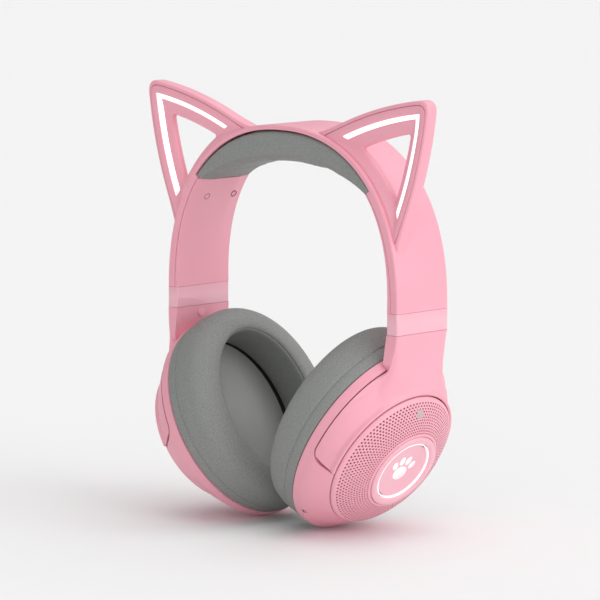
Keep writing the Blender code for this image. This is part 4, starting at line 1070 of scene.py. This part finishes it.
def grille_edges(radii, around, rings):
    """The plain bands that close the dome: inside the holes and outside them, by rings of points."""
    first, last = radii[0], radii[-1]
    step = 2 * math.pi / around
    turn = np.arange(2 * around) * step / 2
    near, edge = RING_INNER + 0.05, FACE_RADIUS - 0.5
    inner = [(first, 0), (near + 0.3, 0), (near, 0.3), (near, GRILLE_THICK), (first, GRILLE_THICK)]
    outer = [(last, 0), (edge - 0.9, 0), (edge - 0.25, 0.12), (edge, 0.5), (edge, 1.0),
             (edge - 1.8, GRILLE_THICK), (last, GRILLE_THICK)]
    made = []
    for rows, lean in ((inner, 0), (outer, 0.5 * rings)):
        angle = turn + lean * step
        made.append(np.array([polar(np.full(2 * around, r), angle, below) for r, below in rows]))
    return made


RINGS, AROUND, HOLES_FROM, HOLES_TO = 12, 104, 21.9, 36.6
WINDOW_AT = (31.4, 2.6)
hole_points, hole_faces, hole_radii = perforated(HOLES_FROM, HOLES_TO, RINGS, AROUND)
blocks, counted = [hole_points], len(hole_points)
all_faces = hole_faces.tolist()
for rows in grille_edges(hole_radii, AROUND, RINGS):
    all_faces += (grid_faces(len(rows), rows.shape[1], False, True) + counted).tolist()
    blocks.append(rows.reshape(-1, 3))
    counted += len(blocks[-1])
grille_points = np.vstack(blocks)
for name, side in SIDES:
    grille = make_piece(f"perforated_grille_{name}", place(grille_points, side), all_faces, PINK_GRILLE,
                        f"cup_{name}", "grille_pink", [f"grille_{name}"], sharp=40, weld=True)
    # A dark plum disc under the holes is painted shade: it makes the holes look dark and deep.
    radii = [37.0, 34.0, 30.0, 26.0, 22.0]
    shade_rows = [(r, r, float(dome(r)) - 0.7) for r in radii]
    shade_rows += [(r, r, float(dome(r)) - 1.1) for r in radii[::-1]]
    cup_piece("grille_painted_shade", shade_rows, 96, side, PLUM_CLOTH_AND_SHADE, "scrim_cloth")
# The left grille has a small window of a sensor among its holes.
rings = []
for shrink, raise_by in ((1.0, -0.6), (1.0, 0.12), (0.93, 0.2), (0.5, 0.2), (0.05, 0.2)):
    flat = rounded_outline(1.9, 2.3, 0.5, 0.0) * shrink + WINDOW_AT
    rings.append(np.column_stack([flat, dome(np.hypot(flat[:, 0], flat[:, 1])) + raise_by]))
points, faces = loft(np.array(rings))
make_piece("sensor_window", place(points), faces, WINDOW, "cup_left", "grille_pink")
print("grille faces", len(grille.data.polygons), "holes", RINGS * AROUND)

# %% [markdown]
# ## The badge
# In the middle of the grille sits a round badge: a polished raised rim, a thin ring of light just
# inside it, and a dished lens. The mark on the lens is a plain paw, of no maker: five soft drops
# that glow like the ring.

# %% Badge rim, light ring, lens and paw
def ring_profile(inner, outer, base, height):
    """A soft raised rim: half of a flattened superellipse from the inner to the outer radius."""
    turn = np.linspace(math.pi, 0, 13)
    middle, half = (inner + outer) / 2, (outer - inner) / 2
    radius = middle + half * np.sign(np.cos(turn)) * np.abs(np.cos(turn)) ** 0.7
    out = base + height * np.abs(np.sin(turn)) ** 0.8
    top = [(r, r, o) for r, o in zip(radius, out)]
    return top + [(outer, outer, base - 1.6), (inner, inner, base - 1.6)]


BADGE_TOP = float(dome(RING_INNER))


def drop_shape(middle, length, width, turn_degrees, base, height, count=20, rows=6):
    """A raised drop: an ellipse whose height falls away like a dome to its edge."""
    turn = np.linspace(0, 2 * math.pi, count, endpoint=False)
    swing = math.radians(turn_degrees)
    rings = []
    for row in range(rows):
        share = math.cos(row / (rows - 1) * math.pi / 2 * 0.96)
        x, y = length * share * np.cos(turn), width * share * np.sin(turn)
        out = base + height * math.sin(row / (rows - 1) * math.pi / 2)
        across = middle[0] + x * math.cos(swing) - y * math.sin(swing)
        along = middle[1] + x * math.sin(swing) + y * math.cos(swing)
        rings.append(np.column_stack([across, along, np.full(count, out)]))
    return loft([rings[0] - [0, 0, 0.4], *rings])


PAW = (((-2.4, 0.0), 4.3, 5.2, 0), ((2.6, 6.3), 2.7, 1.9, 28), ((5.3, 2.3), 3.0, 1.9, 8),
       ((5.3, -2.3), 3.0, 1.9, -8), ((2.6, -6.3), 2.7, 1.9, -28))
DISH_RADIUS = 15.4


def dish_height(radius):
    return BADGE_TOP - 1.5 + 0.9 * (radius / DISH_RADIUS) ** 2


for name, side in SIDES:
    profile = ring_profile(RING_OUTER - 0.5, RING_INNER - 0.1, BADGE_TOP - 0.2, 1.0)
    cup_piece("badge_rim", profile, 128, side, PINK_GLOSS, "pink_gloss")
    profile = ring_profile(RING_OUTER - 1.35, RING_OUTER - 0.75, BADGE_TOP - 0.3, 0.5)
    cup_piece("badge_light", profile, 128, side, GLOW, "light_diffuser", [f"light_ring_{name}"])
    rows = [(DISH_RADIUS, DISH_RADIUS, BADGE_TOP - 2.6)]
    rows += [(r, r, dish_height(r)) for r in (DISH_RADIUS, 13.0, 10.0, 7.0, 4.0, 1.5, 0.1)]
    cup_piece("badge_dish", rows, 96, side, PINK_GLOSS, "pink_gloss", [f"badge_lens_{name}"], closed=False)
    for number, (middle, length, width, turned) in enumerate(PAW):
        base = dish_height(math.hypot(*middle))
        points, faces = drop_shape(middle, length, width, turned, base - 0.1, 0.45)
        make_piece(f"badge_paw_{number}_{name}", place(points, side), faces, MARK, f"cup_{name}",
                   "light_diffuser")
print("badges done, rim top at", round(BADGE_TOP + 0.8, 2))


# %% [markdown]
# ## The cat ears
# Each ear is a flat frame with three curved sides. Its outline comes from circles: one for the top
# side, one for the outer side, one for the band under it. Moving the circles in or out gives every
# inner line of the frame at once, so the rim, the front face and the hole are all loops of one grid.
# Near the band the outline flares, so the ear seems to grow out of the shell.

# %% Circles of the ear
EAR_FROM, EAR_TO, EAR_REACH, TIP_SHIFT, EAR_BULGE = 25.5, 101.5, 56.0, 3.0, 3.6
EAR_FRONT, EAR_DEPTH, FUNNEL_FROM, FUNNEL_DEEP = -16.0, 7.0, 0.34, 3.4
TOP_WIDE, OUTER_WIDE, BASE_WIDE, FOOT_SUNK, FLARE = 15.3, 12.0, 5.0, 1.3, 1.4


def circle_through(first, second, bulge):
    """Centre and radius of the arc between two points that stands out by the bulge to its left."""
    chord = second - first
    length = np.linalg.norm(chord)
    radius = (length**2 / 4 + bulge**2) / (2 * bulge)
    left = np.array([-chord[1], chord[0]]) / length
    return (first + second) / 2 - left * (radius - bulge), radius


def circles_meet(one, other, near):
    (a, r), (b, q) = one, other
    way = (b - a) / np.linalg.norm(b - a)
    gap = np.linalg.norm(b - a)
    along = (gap**2 + r**2 - q**2) / (2 * gap)
    across = math.sqrt(max(r**2 - along**2, 0))
    options = [a + way * along + sign * across * np.array([-way[1], way[0]]) for sign in (1, -1)]
    return min(options, key=lambda point: np.linalg.norm(point - near))


FOOT_IN, FOOT_OUT = (np.array(arch_at(at)) for at in (EAR_FROM, EAR_TO))
MIDDLE_AT = (EAR_FROM + EAR_TO) / 2
ROOT = np.array(arch_at(MIDDLE_AT))
UP = ROOT - np.array(arch_at(MIDDLE_AT, 10.0))
UP = UP / np.linalg.norm(UP)
TIP = ROOT + UP * EAR_REACH + np.array([-UP[1], UP[0]]) * TIP_SHIFT
CIRCLES = {
    "top": circle_through(FOOT_IN, TIP, EAR_BULGE),
    "outer": circle_through(TIP, FOOT_OUT, EAR_BULGE),
    "base": circle_through(FOOT_IN, FOOT_OUT, np.linalg.norm(ROOT - (FOOT_IN + FOOT_OUT) / 2)),
}
print("ear tip", TIP.round(1), "feet", FOOT_IN.round(1), FOOT_OUT.round(1))


def arc_between(circle, start, end, share):
    """Points on the circle from start to end by the shorter way."""
    middle, radius = circle
    first = math.atan2(*(start - middle)[::-1])
    turn = (math.atan2(*(end - middle)[::-1]) - first + math.pi) % (2 * math.pi) - math.pi
    angle = first + turn * share
    return middle + radius * np.column_stack([np.cos(angle), np.sin(angle)])


def moved_circles(top, outer, base):
    """The three circles moved in by three amounts, and the corners where they meet."""
    changes = {"top": -top, "outer": -outer, "base": base}
    moved = [(CIRCLES[label][0], CIRCLES[label][1] + change) for label, change in changes.items()]
    corners = [circles_meet(moved[2], moved[0], FOOT_IN), circles_meet(moved[0], moved[1], TIP),
               circles_meet(moved[1], moved[2], FOOT_OUT)]
    return moved, corners


def ear_loop(top, outer, base, rounds, flare=0.0):
    """One closed line of the frame: three arcs, moved in by three amounts, with rounded corners."""
    moved, corners = moved_circles(top, outer, base)
    line = []
    for number, circle in enumerate(moved):
        start, end = corners[number], corners[(number + 1) % 3]
        length = np.linalg.norm(end - start)
        lead, trail = rounds[number] / length, 1 - rounds[(number + 1) % 3] / length
        side = arc_between(circle, start, end, np.linspace(lead, trail, 34))
        if flare and number < 2:
            out = side - circle[0]
            out /= np.linalg.norm(out, axis=1, keepdims=True)
            above = np.linalg.norm(side - CIRCLES["base"][0], axis=1) - CIRCLES["base"][1]
            side = side + out * (flare * np.clip(1 - above / 11.0, 0, 1.2) ** 2)[:, None]
        line.append(side)
    points = []
    t = np.linspace(0, 1, 9)[1:-1, None]
    for number in range(3):
        here, following = line[number], line[(number + 1) % 3]
        corner = corners[(number + 1) % 3]
        if flare and number != 0:
            corner = (here[-1] + following[0]) / 2
        curve = (1 - t) ** 2 * here[-1] + 2 * t * (1 - t) * corner + t**2 * following[0]
        points += [here, curve]
    return np.vstack(points)


def frame_loop(share, y):
    """A loop between the outline (share 0) and the hole (share 1) at a depth."""
    rounds = (0.4 + 2.6 * share, 7.0 - 4.0 * share, 0.4 + 2.6 * share)
    fade = FLARE * max(0.0, 1 - share * 5)
    foot = -FOOT_SUNK + (BASE_WIDE + FOOT_SUNK) * share
    line = ear_loop(TOP_WIDE * share, OUTER_WIDE * share, foot, rounds, fade)
    return np.column_stack([line[:, 0], np.full(len(line), y), line[:, 1]])


def face_depth(share):
    """How far the front cover's face lies behind the rim: flat at first, then sloping to the hole."""
    return FUNNEL_DEEP * np.clip((np.asarray(share, float) - FUNNEL_FROM) / (1 - FUNNEL_FROM), 0, 1)


def chevron(top_inset, outer_inset, foot, steps=40):
    """A line of the V of light, along the top side and down the outer side, with its face depth."""
    (top, outer, _), corners = moved_circles(top_inset, outer_inset, foot)
    share = np.linspace(0, 1, steps)
    line = np.vstack([arc_between(top, *corners[:2], share[:-1]), arc_between(outer, *corners[1:], share)])
    near_tip = [steps - 6, steps + 4]
    shares = np.interp(np.arange(len(line)), near_tip, [top_inset / TOP_WIDE, outer_inset / OUTER_WIDE])
    return line, face_depth(shares)


def strip_body(first, second, front, back, bevel=0.0):
    """A closed bar that follows the sloping face between two lines, with a small front bevel."""
    across = second[0] - first[0]
    across /= np.linalg.norm(across, axis=1, keepdims=True)
    rings = []
    for (line, deep), move, y in ((first, 0, back), (first, 0, front + bevel), (first, bevel, front),
                                  (second, -bevel, front), (second, 0, front + bevel), (second, 0, back)):
        flat = line + across * move
        rings.append(np.column_stack([flat[:, 0], EAR_FRONT + deep + y, flat[:, 1]]))
    return loft(np.stack(rings, 1))


# %% Ear frames, front covers and lights
front, back = EAR_FRONT, EAR_FRONT + EAR_DEPTH
RIM = 2.0 / TOP_WIDE
SHELL_ROWS = [(0.055, back), (0.018, back - 0.25), (0.0, back - 0.9), (0.0, front + 1.7), (0.006, front + 1.0),
              (0.03, front + 0.45), (0.065, front + 0.12), (0.105, front), (RIM - 0.008, front),
              (RIM, front + 0.12), (RIM, front + 1.6), (0.34, front + 2.2), (0.96, front + 5.0),
              (1.0, front + 5.2), (1.0, back - 0.9), (0.98, back - 0.25), (0.945, back)]
COVER_ROWS = [(RIM + 0.018, front + 1.5), (RIM + 0.018, front + 0.12), (RIM + 0.028, front)]
COVER_ROWS += [(at, front + float(face_depth(at))) for at in (0.24, 0.32, 0.36, 0.5, 0.65, 0.8, 0.93)]
COVER_ROWS += [(at, front + FUNNEL_DEEP + more) for at, more in ((0.975, 0.1), (0.997, 0.5), (1.0, 1.0))]
COVER_ROWS += [(1.0, front + 5.0), (0.4, front + 2.3)]
# The V of light: the slot, the strip in it and the board behind it, each between two lines.
SLOT = strip_body(chevron(6.3, 5.3, 4.9), chevron(8.8, 8.3, 4.9), -2.0, 3.0)
STRIP = strip_body(chevron(6.5, 5.45, 5.1), chevron(8.6, 8.15, 5.1), 0.1, 1.3, 0.15)
LAMPS = strip_body(chevron(6.7, 5.65, 5.3), chevron(8.4, 7.95, 5.3), 1.5, 2.3)
SHELL = loft(np.array([frame_loop(share, y) for share, y in SHELL_ROWS]), True)
COVER = loft(np.array([frame_loop(share, y) for share, y in COVER_ROWS]), True)
for name, side in SIDES:
    paired_piece("ear_frame", SHELL, side, PINK, "headband", "pink_shell", "ear_shell", sharp=50)
    cover = paired_piece("ear_front", COVER, side, PINK, "headband", "pink_shell", "ear_bezel")
    boolean(cover, plain_object("light_slot", mirrored(SLOT[0], side), SLOT[1]), "DIFFERENCE")
    shade(cover.data, 50)
    paired_piece("ear_light", STRIP, side, LIGHT, "headband", "light_diffuser", "ear_diffuser")
    paired_piece("ear_board", LAMPS, side, BOARD, "headband", "circuit_board", "ear_light_board")
print("ears done")

# %% [markdown]
# ## The small solids that stay
# The rails, screws, pins, buttons, socket, drivers, battery and main board are right as they are, so
# they only get their finishes.

# %% Finishes for the solids that still show
FINISHES = (
    (("slider_rail", "pivot_pin", "headband_spring", "usb_socket"), STEEL),
    (("power_button", "volume_", "slider_screw"), PINK),
    ("main_circuit_board", BOARD),
    (("slider_guide", "headband_pad_plate", "driver_", "battery", "microphone"), BLACK),
)
finished = 0
for label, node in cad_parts.items():
    for starts, look in FINISHES:
        if label.startswith(starts):
            node.data.materials.clear()
            node.data.materials.append(look)
            finished += 1
print("solids finished:", finished)

# %% [markdown]
# ## Stage, light and camera
# The headset stands on a wide pale floor, which also fills the background. The main light comes from
# the wearer's left. A second falls from above and a weak one from the front. All three are suns with
# a very wide angle, so their shadows are soft and the floor is evenly bright.

# %% Stage
low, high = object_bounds()
floor_z = low.z - 0.0004
bpy.ops.mesh.primitive_plane_add(size=12.0, location=(0, 0, floor_z))
floor = bpy.context.object
floor.name = "floor"
floor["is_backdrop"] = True
pale, _, shader = new_material("pale_floor")
shader.inputs["Base Color"].default_value = (0.90, 0.90, 0.90, 1)
shader.inputs["Roughness"].default_value = 0.8
floor.data.materials.append(pale)

# %% Light
world = bpy.data.worlds.new("studio")
bpy.context.scene.world = world
world.use_nodes = True
background = world.node_tree.nodes["Background"].inputs
background["Color"].default_value = (1, 1, 1, 1)
background["Strength"].default_value = 0.44
bpy.context.scene.view_settings.view_transform = "Standard"


def soft_sun(name, toward, strength, spread):
    """A very wide sun that shines from a direction."""
    lamp = bpy.data.lights.new(name, "SUN")
    lamp.energy, lamp.angle = strength, math.radians(spread)
    made = bpy.data.objects.new(name, lamp)
    bpy.context.scene.collection.objects.link(made)
    made.rotation_euler = mathutils.Vector(toward).to_track_quat("Z", "Y").to_euler()


soft_sun("key_from_the_left", (1.0, 0.15, 0.42), 1.15, 50)
soft_sun("top", (0.1, 0.25, 1.0), 1.3, 80)
soft_sun("fill_from_the_front", (0.62, -0.78, 0.25), 0.53, 60)

# %% Camera
camera_data = bpy.data.cameras.new("camera")
camera = bpy.data.objects.new("camera", camera_data)
bpy.context.scene.collection.objects.link(camera)
bpy.context.scene.camera = camera
azimuth, elevation, roll = (math.radians(value) for value in (43.1317, 7.4073, 0.3037))
flat = math.cos(elevation)
away = np.array([math.sin(azimuth) * flat, -math.cos(azimuth) * flat, math.sin(elevation)])
level = np.array([math.cos(azimuth), math.sin(azimuth), 0])
upright = np.cross(away, level)
right = math.cos(roll) * level + math.sin(roll) * upright
above = math.cos(roll) * upright - math.sin(roll) * level
pose = np.eye(4)
pose[:3] = np.column_stack([right, above, away, (1.37070, -1.46625, 0.18927)])
camera.matrix_world = mathutils.Matrix(pose.tolist())
camera_data.lens = 241.3
camera_data.clip_end = 50

# %% [markdown]
# ## The two boxes
# The box of the solids and the box of the finished model are printed one after the other. The
# finished model has to stay inside the solids' box, apart from the little that soft covers may
# stand proud.

# %% Sizes and finish
NEW_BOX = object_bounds()
boxes = {"solids": [list(corner) for corner in CAD_BOX], "model": [list(corner) for corner in NEW_BOX]}
for label, box in boxes.items():
    print(label, [[round(value * 1000, 1) for value in corner] for corner in box])
